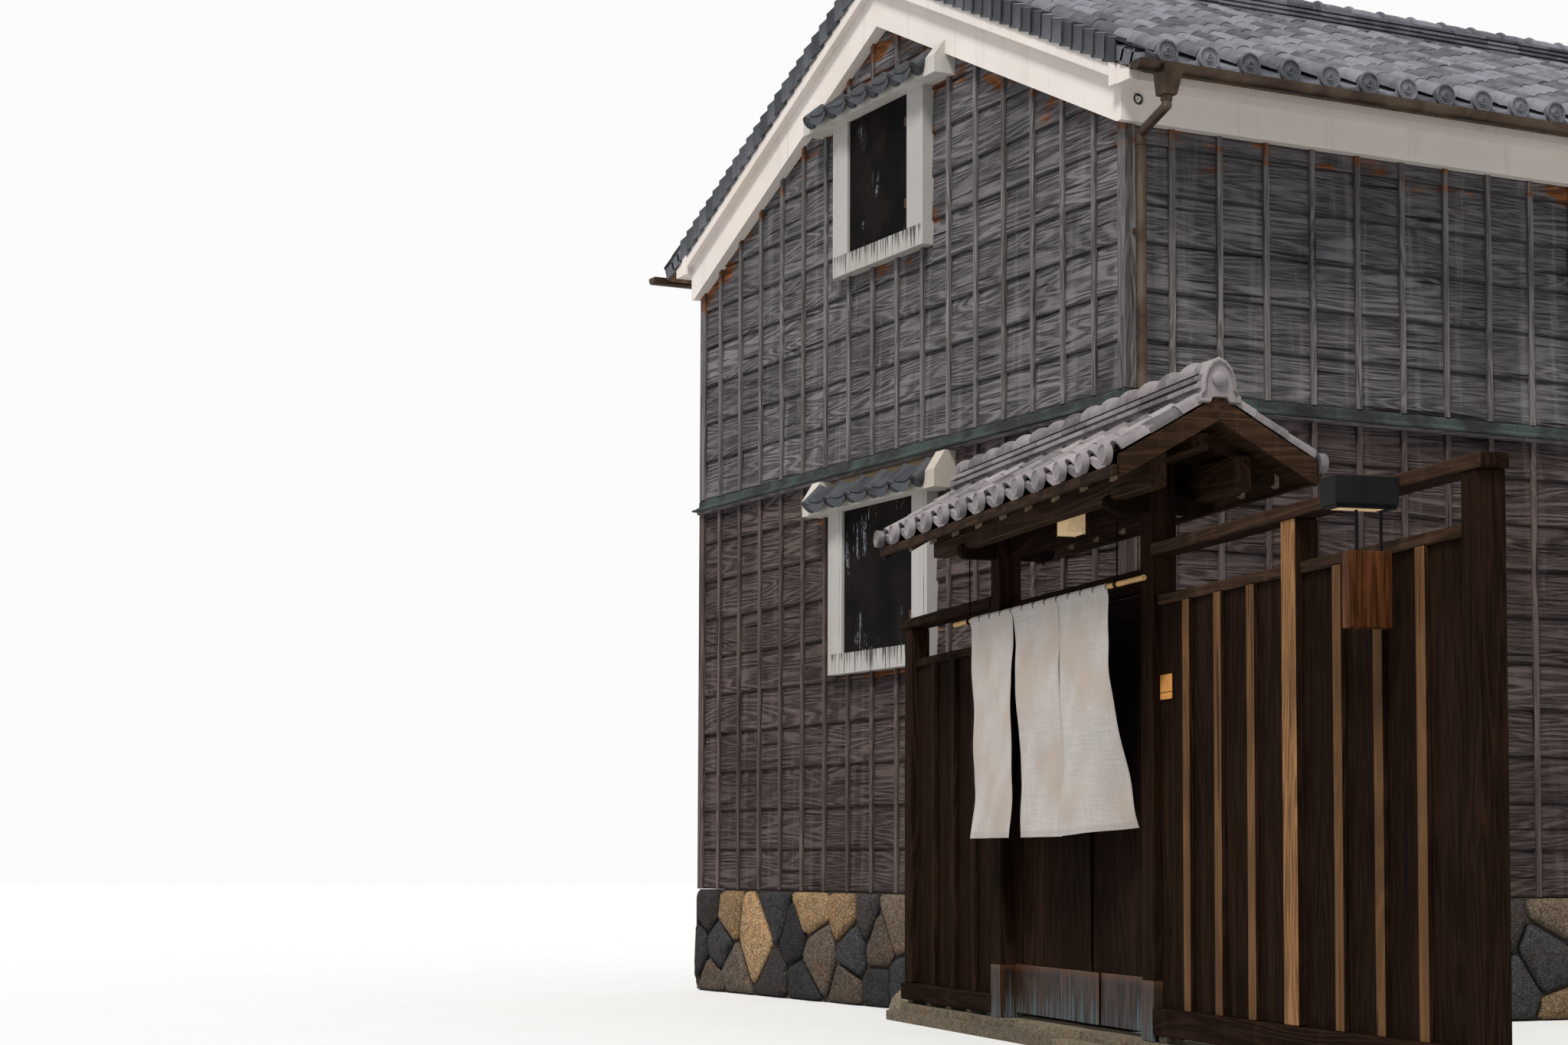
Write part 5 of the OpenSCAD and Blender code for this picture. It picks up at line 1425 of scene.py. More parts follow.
def boulder(material):
    """The rounded stone at the plinth's foot beside the fence."""
    shape = Shape(64)
    middle = Vector((STREET.translation.x - 0.279, -0.25, 0))
    sizes = Matrix.Diagonal((0.2, 0.21, 0.2))
    rings = []
    for tilt in (math.radians(k) for k in range(0, 91, 10)):
        ring = []
        for p in circle(UP * math.sin(tilt), RIGHT, BACK, max(0.02, math.cos(tilt)), 24):
            p *= 1 - 0.09 * abs(noise.noise(p * 1.7)) - 0.03 * abs(noise.noise(p * 6))
            ring.append(middle + sizes @ p)
        rings.append(ring)
    loft(shape, rings, 0.55, BACK)
    shape.object("foot_boulder", [material], smooth=60, slot="granite")


def rough_block(shape, low, high, chip=0.012):
    """A split stone block with worn, slightly uneven edges."""
    low, high = Vector(low), Vector(high)
    size = high - low
    counts = [max(2, int(length / step)) for length, step in zip(size, (0.07, 0.09, 0.05))]
    index = {}
    points, faces = [], []
    key = shape.random.uniform(0, 90)

    def point(spot):
        if spot not in index:
            p = Vector([low[i] + size[i] * spot[i] / counts[i] for i in range(3)])
            pull = (0, 0, 0.35, 0.6)[sum(spot[i] in (0, counts[i]) for i in range(3))]
            jitter = chip * 0.5 * noise.noise(p * 11 + RIGHT * key)
            index[spot] = len(points)
            points.append(p + ((low + high) / 2 - p).normalized() * (pull * chip + abs(jitter)))
        return index[spot]

    for a, b, c in ((0, 1, 2), (0, 2, 1), (1, 2, 0)):
        for i in range(counts[a]):
            for j in range(counts[b]):
                for k in (0, counts[c]):
                    face = []
                    for p, q in rectangle(i, j, i + 1, j + 1):
                        spot = [0, 0, 0]
                        spot[a], spot[b], spot[c] = p, q, k
                        face.append(point(tuple(spot)))
                    faces.append(face)
    shape.add(points, faces, shape.random.uniform(0.2, 0.8), RIGHT, UP)


def gate_tiles(material):
    """Flat and round tiles of the gate roof, with scalloped eave plates and round ends."""
    t = setting("tiles")
    low, high, _, run, eave_z = gate_slopes()
    base, start = -0.045, 0.02
    shape = Shape(71)
    places = even_places(low.x + 0.055, high.x - 0.055, t.column)
    length = run / math.cos(math.atan(GATE_PITCH)) - 0.05
    for eave_v, out in ((low.y, -BACK), (high.y, BACK)):
        slope = Slope((0, eave_v, eave_z), RIGHT, -out, GATE_PITCH)
        tile_field(shape, slope, places, length, 0.2, t.small_r, base, sag=0.03, lift=-0.05, start=start)
        eave_plates(shape, slope, places, t.small_r, base, 0.02, scallop=0.026)
        for u in places:
            end = Vector((u, eave_v, eave_z - t.small_r)) + out * 0.026
            disc_end(shape, end, out, UP, t.small_r * 0.94, detail=False)
    shape.object("gate_tiles", [material], smooth=38, place=STREET, slot="gate_tile")


def gate_slopes():
    """The gate roof's box, its middle and half width, and the height of its boards at the eaves."""
    low, high = street_box("gate_roof")
    return low, high, (low.y + high.y) / 2, (high.y - low.y) / 2, low.z + 0.1256


def gate_roof_boards(material):
    """Boards under the gate's tiles, with fascias along the eaves and bargeboards up the verges."""
    low, high, middle, run, eave_z = gate_slopes()
    shape = Shape(72)
    thick = 0.016
    bottom = eave_z + run * GATE_PITCH - 0.143
    for side in (-1, 1):
        for a, b in pairs(even_places(0.01, run - 0.03, 0.12)):
            rings = [[Vector((u, middle + side * v, bottom - v * GATE_PITCH + lift))
                      for v, lift in rectangle(a, 0, b - 0.002, thick)]
                     for u in (low.x + 0.02, high.x - 0.02)]
            loft(shape, rings, shape.random.uniform(0.2, 0.8), RIGHT)
        front = middle + side * (run - 0.016)
        bar(shape, (low.x + 0.01, front - 0.013, low.z - 0.016), (high.x - 0.01, front + 0.013, low.z + 0.03),
            0.004, 0.5, 0.001)
    for u, inner in ((low.x, 0.03), (high.x, -0.03)):
        for side in (-1, 1):
            rings = [[Vector((u + du, middle + side * v, bottom - v * GATE_PITCH + z))
                      for du, z in rectangle(0, -0.03, inner, 0.075)] for v in (0.0, run - 0.03)]
            loft(shape, rings, 0.5, BACK)
    made = shape.object("gate_roof_boards", [material], place=STREET, slot="gate_wood")
    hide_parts("gate_roof")


def gate_ridge(material):
    """Two courses of flat tiles under round tiles laid like a rope, with rounded end tiles."""
    low, high = street_box("gate_ridge")
    middle = (low.y + high.y) / 2
    shape = Shape(73)
    radius, course_h = 0.052, 0.038
    axis = high.z - radius
    foot = axis - 2 * course_h - radius + 0.008

    def line(inset, z):
        return Vector((low.x + inset, middle, z)), Vector((high.x - inset, middle, z))

    for k, width in enumerate((0.165, 0.14)):
        course_row(shape, *line(0.03, foot + k * course_h), BACK, width, course_h, 0.34, 0.6, 0.01)
    cap_tiles(shape, *line(0.05, axis - 0.012), BACK, radius - 0.01, 0.235, turn=True)
    for spot, out in zip(line(0.04, foot - 0.05), (-RIGHT, RIGHT)):
        end_tile(shape, spot, out, BACK, 0.17, high.z - foot + 0.03)
    made = shape.object("gate_ridge_tiles", [material], smooth=38, place=STREET, slot="gate_tile")
    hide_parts("gate_ridge")


def gate_leaf(name, node, body, materials, meet):
    """A ledged leaf of upright boards in a frame, with a copper kick plate and its hinge straps.
    The right leaf, where meet is 1, has the cover strip over the joint. Plates take finish 1, straps 2."""
    low, high = street_box(node)
    shape = Shape(81 + meet)
    stile, rail, skin, gap = 0.095, 0.12, 0.008, 0.0035
    face, rear = HINGE_PLACE.y - 0.055, HINGE_PLACE.y - 0.02
    pin_u = (TO_STREET @ HINGES[meet]).x
    inward = -1 if meet else 1
    hinge_u = pin_u + inward * gap
    u0, u1 = sorted((hinge_u, low.x if meet else high.x))
    z0, z1 = low.z, high.z
    for a, b in ((u0, u0 + stile), (u1 - stile, u1)):
        bar(shape, (a, face, z0), (b, rear, z1), 0.004, shape.random.uniform(0.3, 0.6), axis=2)
    for a, b in ((z0, z0 + rail), (z1 - rail, z1)):
        bar(shape, (u0 + stile, face, a), (u1 - stile, rear, b), 0.004, 0.45, axis=0)
    foot, head = z0 + rail - 0.002, z1 - rail + 0.002
    for a, b in pairs(even_places(u0 + stile, u1 - stile, 0.15)):
        bar(shape, (a + 0.001, face + skin, foot), (b - 0.001, rear - skin, head), 0.0025,
            shape.random.uniform(0.1, 0.8), axis=2)
    if meet:
        bar(shape, (low.x, face - 0.01, z0), (low.x + 0.12, face, z1), 0.003, axis=2)
    for z in (z0 + 0.26, z1 - 0.3):
        a, b = sorted((hinge_u, hinge_u + inward * 0.325))
        bar(shape, (a, rear, z + 0.002), (b, rear + 0.012, z + 0.038), 0.002, axis=0, mat=2)
        pin = Vector((pin_u, HINGE_PLACE.y, z))
        rings = [circle(pin + UP * h, RIGHT, BACK, r, 20) for r, h in (
            (0.0082, 0.0), (0.0082, 0.04), (0.0125, 0.04), (0.013, 0.0385), (0.013, 0.0015), (0.0125, 0.0),
            (0.0082, 0.0))]
        loft(shape, rings, 0.5, UP, ends=False, mat=2)
    for a, b in pairs(even_places(u0 + 0.004, u1 - 0.004, 0.24)):
        v = face - 0.01 if meet and a < low.x + 0.115 else face
        stand = 0.0015 + shape.random.uniform(0.0003, 0.0015)
        bar(shape, (a, v - stand, z0 + 0.002), (b - 0.0015, v - 0.0001, z0 + 0.25), 0.0006,
            shape.random.uniform(0.2, 0.8), axis=2, mat=1)
    made = shape.object(name, materials, body=body, place=STREET, slot="leaf_wood")
    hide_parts(node)


def post_shoes(material):
    """Copper shoes round the feet of the two gate posts."""
    shape = Shape(83)
    top, skin = 0.37, 0.0018
    for low, high in solids("gate_posts"):
        left, right, z = low.x - skin, high.x + skin, low.z + 0.001
        for a, b in (((left, low.y - skin, z), (right, low.y, top)), ((left, low.y, z), (low.x, high.y, top)),
                     ((high.x, low.y, z), (right, high.y, top)),
                     ((left, high.y, z), (right, high.y + 0.0015, top))):
            bar(shape, a, b, 0.0005, shape.random.uniform(0.3, 0.7), axis=2)
    shape.object("post_shoes", [material], place=STREET, slot="copper")


def rafter_ends(material):
    """White paint round the tips of the gate's rafters."""
    shape = Shape(84)
    skin, tip_h, long, rise = 0.0012, 0.05, 0.02, 0.0116
    for low, high in solids("gate_rafters"):
        for v, inward in ((low.y, 1), (high.y, -1)):
            rings = [[Vector((u, v + inward * back, low.z + up + z))
                      for u, z in rectangle(low.x - skin, -skin, high.x + skin, tip_h + skin)]
                     for back, up in ((-skin, 0.0), (long, rise))]
            loft(shape, rings, 0.5, BACK)
    shape.object("rafter_end_paint", [material], place=STREET, slot="gate_wood")


def cloth_point(panel, x, share, low_u, width, drop):
    """Where a point of the curtain hangs: how far along and in front of the rod, and how far below it.
    Panel counts from the left, x runs over the panel and share from the rod to the hem."""
    u = low_u + (panel + x) * width + 0.011 * share ** 1.4 * (1 - 2 * x) * (1.3 if panel == 0 else 0.5)
    down, blow = drop * share, 0.0
    if panel:
        u -= 0.012 * math.sin(math.pi * min(1, share * 1.5)) * (2 - panel) * x ** 6
    if panel == 0:
        u -= 0.045 * share ** 0.85 * x
        blow = -0.012 * share * x ** 2
    if panel == 1:
        u += 0.02 * share * (1 - x)
        blow = 0.022 * share ** 1.6 * x + 0.03 * share * (1 - x) ** 2
    if panel == 2:
        u -= 0.03 * share ** 2 * x
        down -= 0.035 * share ** 2 * x
        blow = 0.15 * share ** 2.2 * x ** 1.4
    return u, blow, down


def curtain_panels(material, rod_v, rod_z, radius):
    """The bare three-panel door curtain in light wind, with its hem and the sleeves that hold the rod."""
    low, high = street_box("curtain_cloth")
    shape, sleeve = Shape(91), Shape(92)
    panels, rows, columns, loops = 3, 56, 24, 4
    width, drop = (high.x - low.x) / panels, rod_z - low.z
    for panel in range(panels):
        points, hem = [], []
        for share in (r / rows for r in range(rows + 1)):
            for x in (c / columns for c in range(columns + 1)):
                u, blow, down = cloth_point(panel, x, share, low.x, width, drop)
                z = rod_z - down
                aslant = u - low.x + 0.34 * share
                fold = 0.012 * math.sin(aslant * 9) * (0.2 + 0.8 * share)
                fold += 0.007 * math.sin(aslant * 21 + 2 * share) * (0.35 + 0.65 * share)
                fold += 0.018 * wavy(aslant * 3.4, z * 1.7, panel * 0.2)
                fold += 0.013 * wavy(aslant * 8, z * 4.5, panel * 0.2)
                wrap = -(radius + 0.0025) * max(0, 1 - share * 26)
                points.append((u, rod_v + blow + fold * min(1, share * 6) + wrap * 0.6 - 0.004, z))
                hem.append(1.0 if share * rows > rows - 1.5 or x in (0, 1) else 0.0)
        first = [r * (columns + 1) + c for r in range(rows) for c in range(columns)]
        faces = [(a, a + 1, a + columns + 2, a + columns + 1) for a in first]
        shape.add(points, faces, 0.5, RIGHT, UP, edge=hem)
        for k in range(loops):
            a, b = (low.x + (panel + (k + part) / loops) * width for part in (0.08, 0.92))
            rings = []
            for i in range(7):
                size = radius + 0.0035 + 0.0008 * math.sin(i * 2.1 + k)
                rings.append(circle(Vector((a + (b - a) * i / 6, rod_v, rod_z - 0.002)), UP, BACK, size, 20))
            loft(sleeve, rings, 0.5, RIGHT, ends=False)
    made = shape.object("curtain_panels", [material], place=STREET, smooth=180, slot="linen")
    hems = sleeve.object("curtain_sleeve", [material], place=STREET, smooth=60, slot="linen")
    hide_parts("curtain_cloth")


def curtain(cloth_material, rod_material, cord_material):
    """The door curtain on its bamboo rod with swollen joints, and the two cords that hold the rod."""
    cloth_low, cloth_high = street_box("curtain_cloth")
    low, high = street_box("curtain_rod")
    radius = 0.014
    rod_v, rod_z = (cloth_low.y + cloth_high.y) / 2, low.z + radius
    curtain_panels(cloth_material, rod_v, rod_z, radius)
    rod = Shape(93)
    swells = ((0.0, 0.0018), (0.02, 0.0022), (0.045, 0.0004), (0.5, 0.0), (0.95, 0.0002), (0.985, 0.0016))
    path = [(a + (b - a) * share, grow) for a, b in pairs(even_places(low.x, high.x, 0.33))
            for share, grow in swells] + [(high.x, 0.0)]
    tube(rod, [(u, rod_v, rod_z) for u, _ in path], [radius - 0.002 + grow for _, grow in path], 18, 0.6)
    made = rod.object("bamboo_rod", [rod_material], place=STREET, smooth=40, slot="bamboo")
    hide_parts("curtain_rod")
    cords = Shape(94)
    arm_z = street_box("gate_arms")[0].z
    for post_low, post_high in solids("gate_posts"):
        u = (post_low.x + post_high.x) / 2
        tube(cords, [(u, rod_v, arm_z), (u, rod_v, rod_z + 0.02)], 0.004, 8, 0.4)
        for aside in (-0.008, 0.0, 0.008):
            loop = circle(Vector((u + aside, rod_v, rod_z)), UP, BACK, 0.0165, 14)
            tube(cords, loop + loop[:1], 0.0035, 6, 0.4)
    cords.object("rod_cords", [cord_material], place=STREET, smooth=50, slot="bamboo")


def lantern(glow, metal_material):
    """The lantern's glowing body with its cap and corner strips."""
    low, high = street_box("lantern")
    shape = Shape(95)
    bar(shape, low + Vector((0.002, 0.002, 0.002)), high - Vector((0.002, 0.002, 0.012)), 0.006)
    bar(shape, (low.x, low.y, high.z - 0.014), high, 0.003, 0.4, mat=1)
    for u in (low.x, high.x - 0.004):
        for v in (low.y, high.y - 0.004):
            bar(shape, (u, v, low.z), (u + 0.004, v + 0.004, high.z - 0.01), 0.001)
    made = shape.object("lantern_box", [glow, metal_material], place=STREET, slot="lantern_glass")
    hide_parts("lantern")


def lamp_and_sign(glow, metal_material):
    """The projecting lamp, and the bare sign board that hangs under it on two hangers."""
    low, high = street_box("sign_lamp")
    shape = Shape(96)
    bar(shape, (low.x, low.y, low.z + 0.012), (high.x, high.y, low.z + 0.12), 0.004, axis=1)
    bar(shape, (low.x + 0.012, low.y + 0.012, low.z), (high.x - 0.012, high.y - 0.002, low.z + 0.03),
        0.003, 0.4, axis=1)
    bar(shape, (low.x + 0.03, low.y + 0.03, low.z - 0.001), (high.x - 0.03, high.y - 0.05, low.z + 0.004),
        0.001, axis=1, mat=1)
    made = shape.object("sign_lamp_box", [metal_material, glow], place=STREET, slot="black_metal")
    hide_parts("sign_lamp")
    sign = Shape(97)
    mid, foot, head = (low.x + high.x) / 2, 1.76, 2.045
    bar(sign, (mid - 0.031, high.y - 0.19, foot), (mid + 0.031, high.y - 0.012, head), 0.004, 0.55, axis=2)
    for v in (high.y - 0.15, high.y - 0.05):
        bar(sign, (mid - 0.004, v, head), (mid + 0.004, v + 0.012, low.z + 0.004), 0.001, axis=2, mat=1)
    sign.object("sign_board", [MATERIALS["sign_wood"], metal_material], place=STREET, slot="brown_wood")


def name_plate(material):
    """The bare name plate beside the gate, with a narrow one below it."""
    shape = Shape(98)
    u = solids("gate_posts")[1][1].x + 0.006
    v = solids("fence_boards")[1][0].y + 0.005
    for foot, head in ((1.659, 1.738), (1.626, 1.656)):
        bar(shape, (u, v - 0.006, foot), (u + 0.13, v - 0.0005, head), 0.002, axis=2)
    shape.object("name_plate", [material], place=STREET, smooth=30, slot="iron")


def plinth_core(material):
    """Mortar bed behind the fieldstones, with the ledge that carries the ground floor."""
    shape = Shape(21)
    inner, skin = 0.305, 0.014
    for side in SIDES:
        plan = ((skin, -skin), (side.length - skin, -skin), (side.length - inner, -inner), (inner, -inner))
        rings = [[side.at(u, e, z) for u, e in plan] for z in (0, PLINTH_TOP - 0.004)]
        loft(shape, rings, 0.5, side.along, UP)
    made = shape.object("plinth_mortar", [material], slot="fieldstone")
    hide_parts("stone_plinth")


def drip_copper(material, wood_material):
    """Copper drip band: a sloped sheet with seams and a turned edge, over a timber strip."""
    shape = Shape(22)
    low, top = BAND_LOW, BAND_TOP
    foot, reach = low + 0.02, -BAND[0].y
    sheet = [(-0.03, top), (-0.012, top - 0.002), (0.0, top - 0.012), (0.002, foot + 0.034),
             (reach * 0.45, foot + 0.022), (reach, foot + 0.013), (reach, foot + 0.002), (reach * 0.8, foot),
             (-0.03, foot)]
    strip = [(-0.03, low), (0.012, low), (0.014, low + 0.004), (0.014, foot), (-0.03, foot)]

    def mitred(side, u, x, z, lift):
        """A point of the sheet. At a corner of the house it moves out along the mitre."""
        if u < 0.001:
            u = -max(x, 0)
        elif u > side.length - 0.001:
            u = side.length + max(x, 0)
        return side.at(u, x + (lift if x > 0 else 0), z)

    for side in SIDES:
        gaps = [gap for gap in holes(side)[1:] if gap[2] < top and gap[3] > low]
        for a, b in pairs(even_places(-reach, side.length + reach, 0.46)):
            for s, e in free_runs(a, b, low, top, gaps):
                tone = shape.random.uniform(0.1, 0.9)
                lift = shape.random.uniform(0, 0.0015)
                rings = [[mitred(side, u, x, z, lift) for x, z in sheet] for u in (s + 0.0008, e - 0.0008)]
                loft(shape, rings, tone, side.along, UP, edges=[0.4, 0.4, 0.4, 0.6, 0.3, 0.0, 0.0, 0.5, 0.5])
                if s > 0.05:
                    seam = [side.at(s, 0.001, z) for z in (foot + 0.036, top - 0.012)]
                    tube(shape, seam, 0.0035, 6, tone * 0.6)
        for s, e in free_runs(-0.008, side.length + 0.008, low, top, gaps):
            rings = [[side.at(u, x, z) for x, z in strip] for u in even_places(s, e, 0.5)]
            loft(shape, rings, 0.5, side.along, UP, mat=1)
    shape.values["bare"] = [0.0] * len(shape.points)
    made = shape.object("copper_drip", [material, wood_material], smooth=30, slot="copper")
    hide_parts("drip_band")


def shutter_hinges(material):
    """Two hinges on each shutter, with their leaves and knuckle."""
    shape = Shape(23)
    for level in ("upper", "lower"):
        low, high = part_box(level + "_window_shutter")
        for z in (low.z + (high.z - low.z) * share for share in (0.2, 0.8)):
            for back in (False, True):
                for x, y in ((high.x - 0.055, low.y - 0.0035), (high.x - 0.007, low.y - 0.003)):
                    a, b = Vector((x, y, z - 0.03)), Vector((x + 0.045, y + 0.004, z + 0.03))
                    if back:
                        a, b = Vector((-b.x, LENGTH - b.y, a.z)), Vector((-a.x, LENGTH - a.y, b.z))
                    bar(shape, a, b, 0.001, axis=2)
                x, y = high.x - 0.0085, low.y - 0.005
                knuckle = Vector((-x, LENGTH - y, z)) if back else Vector((x, y, z))
                tube(shape, [knuckle - UP * 0.032, knuckle + UP * 0.032], 0.006, 10, 0.6)
    shape.object("shutter_hinges", [material], smooth=35, slot="copper")


def rosettes(material):
    """Small plaster rosettes low on the eave plaster, near each gable, and the plates at the verges' feet."""
    shape = Shape(24)
    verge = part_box("verge_tiles")[1].x
    for side, node in ((-1, "left_eave_plaster"), (1, "right_eave_plaster")):
        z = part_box(node)[0].z + 0.125
        for y in (0.06, LENGTH - 0.06):
            disc_end(shape, Vector((side * (HALF + 0.045), y, z)), (side, 0, 0), UP, 0.042, depth=0.02)
        inner, outer = sorted((side * (verge - 0.065), side * verge))
        for y in (-0.112, LENGTH + 0.09):
            bar(shape, (inner, y, 5.086), (outer, y + 0.022, 5.236), 0.003, axis=2)
    shape.object("eave_rosettes", [material], smooth=40, slot="white_plaster")


def yard_door_boards(wood_material, iron_material):
    """Boards, ledges, hinge straps and a ring handle on the yard door."""
    shape = Shape(25)
    low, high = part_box("yard_door")
    face, strap = high.x, high.x + 0.024
    for a, b in pairs(even_places(low.y + 0.004, high.y - 0.004, 0.14)):
        front = face + 0.006 + shape.random.uniform(0, 0.001)
        bar(shape, (face - 0.008, a + 0.001, low.z + 0.004), (front, b - 0.001, high.z - 0.004), 0.002,
            shape.random.uniform(0.1, 0.9), 0.0005, axis=2)
    for z in (low.z + 0.2, high.z - 0.3):
        bar(shape, (face + 0.004, low.y + 0.02, z), (strap, high.y - 0.02, z + 0.09),
            0.004, 0.5, 0.0005, axis=1)
        bar(shape, (strap, low.y + 0.012, z + 0.022), (strap + 0.005, low.y + 0.46, z + 0.062),
            0.0015, axis=1, mat=1)
        for k in range(4):
            nail = Vector((strap + 0.005, low.y + 0.05 + k * 0.12, z + 0.042))
            knob(shape, nail, RIGHT, UP, 0.007, 0.6, 10)
    ring_at = Vector((face + 0.022, high.y - 0.12, (low.z + high.z) / 2))
    loop = circle(ring_at + Vector((0.004, 0, -0.035)), UP, BACK, 0.035, 20)
    tube(shape, loop + loop[:1], 0.005, 8, 0.5, mat=1)
    knob(shape, ring_at - RIGHT * 0.016, RIGHT, UP, 0.016, 0.5, 14)
    shape.object("yard_door_boards", [wood_material, iron_material], smooth=30, slot="black_wood")


def dress_frame():
    """Finishes of the frame's own solids that show as they are."""
    for finish, bevel, slot, nodes in (
            ("floor_wood", 0, "floorboards", ["ground_floor", "upper_floor"]),
            ("clay_wall", 0, "clay_wall", ["front_wall", "back_wall", "left_wall", "right_wall"]),
            ("white_plaster", 0.004, "white_plaster", ["front_gable_plaster", "back_gable_plaster",
                                                       "left_eave_plaster", "right_eave_plaster"]),
            ("window_plaster", 0.005, "window_plaster", ["upper_window_surround", "lower_window_surround",
                                                         "back_window_surrounds", "yard_door_surround"]),
            ("canopy_plaster", 0.008, "canopy_plaster", ["upper_window_canopy", "lower_window_canopy",
                                                         "back_window_canopies"]),
            ("shutter", 0.003, "black_wood", ["upper_window_shutter", "lower_window_shutter",
                                              "back_window_shutters"]),
            ("dark_wood", 0.003, "black_wood", ["yard_door"]),
            ("granite", 0.012, "granite", ["yard_step"]),
            ("gutter_copper", 0, "gutter_copper", ["gutter_left", "gutter_right", "downpipe"]),
            ("dark_wood_frame", 0.006, "gate_wood", ["gate_arms"]),
            ("gate_wood_frame", 0.003, "gate_wood", ["gate_rafters"]),
            ("iron", 0.001, "iron", ["gate_pintles"])):
        for node in nodes:
            dress(node, MATERIALS[finish], bevel)


def floor_material():
    """Pale floor: white to the camera, with the object's shadow kept."""
    t = Finish("studio_floor", 0.9, specular=0.1)
    pale = tuple(setting("stage").floor)
    seen = t.mix(t.ramp(t.noise(t.place(), 1.3, 3.0), 0.3, 0.7), dim(pale, 0.985), pale)
    path = t.node("ShaderNodeLightPath").outputs
    t.set(t.shader["Base Color"], t.mix(path["Is Camera Ray"], dim(pale, 0.7), seen))
    return MATERIALS["studio_floor"]


def build_floor():
    """A wide flat floor, just under the part."""
    mesh = bpy.data.meshes.new("studio_floor")
    reach = 90.0
    corners = [(x, y, -0.0005) for x, y in rectangle(-reach, -reach, reach, reach)]
    mesh.from_pydata(corners, [], [(0, 1, 2, 3)])
    mesh.materials.append(floor_material())
    floor = placed("studio_floor", mesh)


def build_light():
    """Even light from all sides, white to the camera, and the soft key lamp."""
    s = setting("stage")
    world = bpy.data.worlds.new("studio")
    bpy.context.scene.world = world
    world.use_nodes = True
    world.node_tree.nodes.clear()
    t = Tree(world.node_tree)
    path = t.node("ShaderNodeLightPath").outputs
    even, white = (t.node("ShaderNodeBackground", {"Color": (*shade, 1.0), "Strength": strength}).outputs[0]
                   for shade, strength in (((0.93, 0.96, 1.0), s.sky), ((0.97, 0.97, 0.97), 1.0)))
    shown = t.node("ShaderNodeMixShader", {0: path["Is Camera Ray"], 1: even, 2: white}).outputs[0]
    t.node("ShaderNodeOutputWorld", {"Surface": shown})
    key = bpy.data.lights.new("key_lamp", "SUN")
    key.energy = s.sun
    key.angle = math.radians(14)
    key.color = (1.0, 0.97, 0.93)
    lamp = placed("key_lamp", key)
    lamp.rotation_euler = Vector((-0.42, 0.6, -1.0)).to_track_quat("-Z", "Y").to_euler()
    lamp.location = (6, -10, 12)


def build_camera():
    """The camera at the photograph's viewpoint, and the plain view transform."""
    s = setting("stage")
    data = bpy.data.cameras.new("camera")
    data.lens = s.focal
    data.sensor_width = 36
    data.clip_end = 200
    data.shift_y = s.shift
    camera = placed("camera", data)
    camera.location = s.eye
    level_out = Vector((-math.cos(s.yaw), math.sin(s.yaw), 0))
    look = level_out * math.cos(s.tilt) + UP * math.sin(s.tilt)
    level = look.cross(UP).normalized()
    right = level * math.cos(s.roll) + level.cross(look) * math.sin(s.roll)
    camera.rotation_euler = Matrix((right, right.cross(look), -look)).transposed().to_euler()
    bpy.context.scene.camera = camera
    bpy.context.scene.view_settings.view_transform = "Standard"


class StageOperator(bpy.types.Operator):
    """Builds the floor, the lamps and the camera"""
    bl_idname = "townhouse.stage"
    bl_label = "Studio"

    def execute(self, context):
        build_floor()
        build_light()
        build_camera()
        return {"FINISHED"}


class FinishesOperator(bpy.types.Operator):
    """Makes the finishes and gives them to the frame's own solids"""
    bl_idname = "townhouse.finishes"
    bl_label = "Finishes"

    def execute(self, context):
        build_materials()
        dress_frame()
        return {"FINISHED"}


class PlinthOperator(bpy.types.Operator):
    """Lays the fieldstones of the plinth"""
    bl_idname = "townhouse.plinth"
    bl_label = "Stone plinth"

    def execute(self, context):
        plinth_core(MATERIALS["joint_mortar"])
        for seed, side in enumerate(SIDES, 31):
            rubble(side, MATERIALS["fieldstone"], seed)
        return {"FINISHED"}


class SidingOperator(bpy.types.Operator):
    """Nails up the lapped boards and their battens"""
    bl_idname = "townhouse.siding"
    bl_label = "Boards and battens"

    def execute(self, context):
        for seed, side in enumerate(SIDES, 11):
            made = siding(side, MATERIALS["boards"], seed)
            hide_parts(side.name + "_cladding")
            battens(side, MATERIALS["battens"], seed + 4)
        return {"FINISHED"}


class TrimOperator(bpy.types.Operator):
    """Adds the copper drip band, rosettes, hinges and the yard door's boards"""
    bl_idname = "townhouse.trim"
    bl_label = "Copper and door trim"

    def execute(self, context):
        drip_copper(MATERIALS["copper"], MATERIALS["battens"])
        rosettes(MATERIALS["white_plaster"])
        shutter_hinges(MATERIALS["kick_plate"])
        yard_door_boards(MATERIALS["dark_wood"], MATERIALS["iron"])
        return {"FINISHED"}


class RoofOperator(bpy.types.Operator):
    """Lays the roof tiles, the ridge and the canopies' tiles"""
    bl_idname = "townhouse.roof"
    bl_label = "Roof tiles"

    def execute(self, context):
        house_tiles(MATERIALS["tile"], MATERIALS["floor_wood"])
        house_ridge(MATERIALS["tile"])
        dark = MATERIALS["canopy_tile"]
        for level in ("upper", "lower"):
            canopy_tiles(dark, level + "_canopy_tiles", level + "_window_canopy")
            canopy_tiles(dark, "back_" + level + "_canopy_tiles", level + "_window_canopy", back=True)
        return {"FINISHED"}


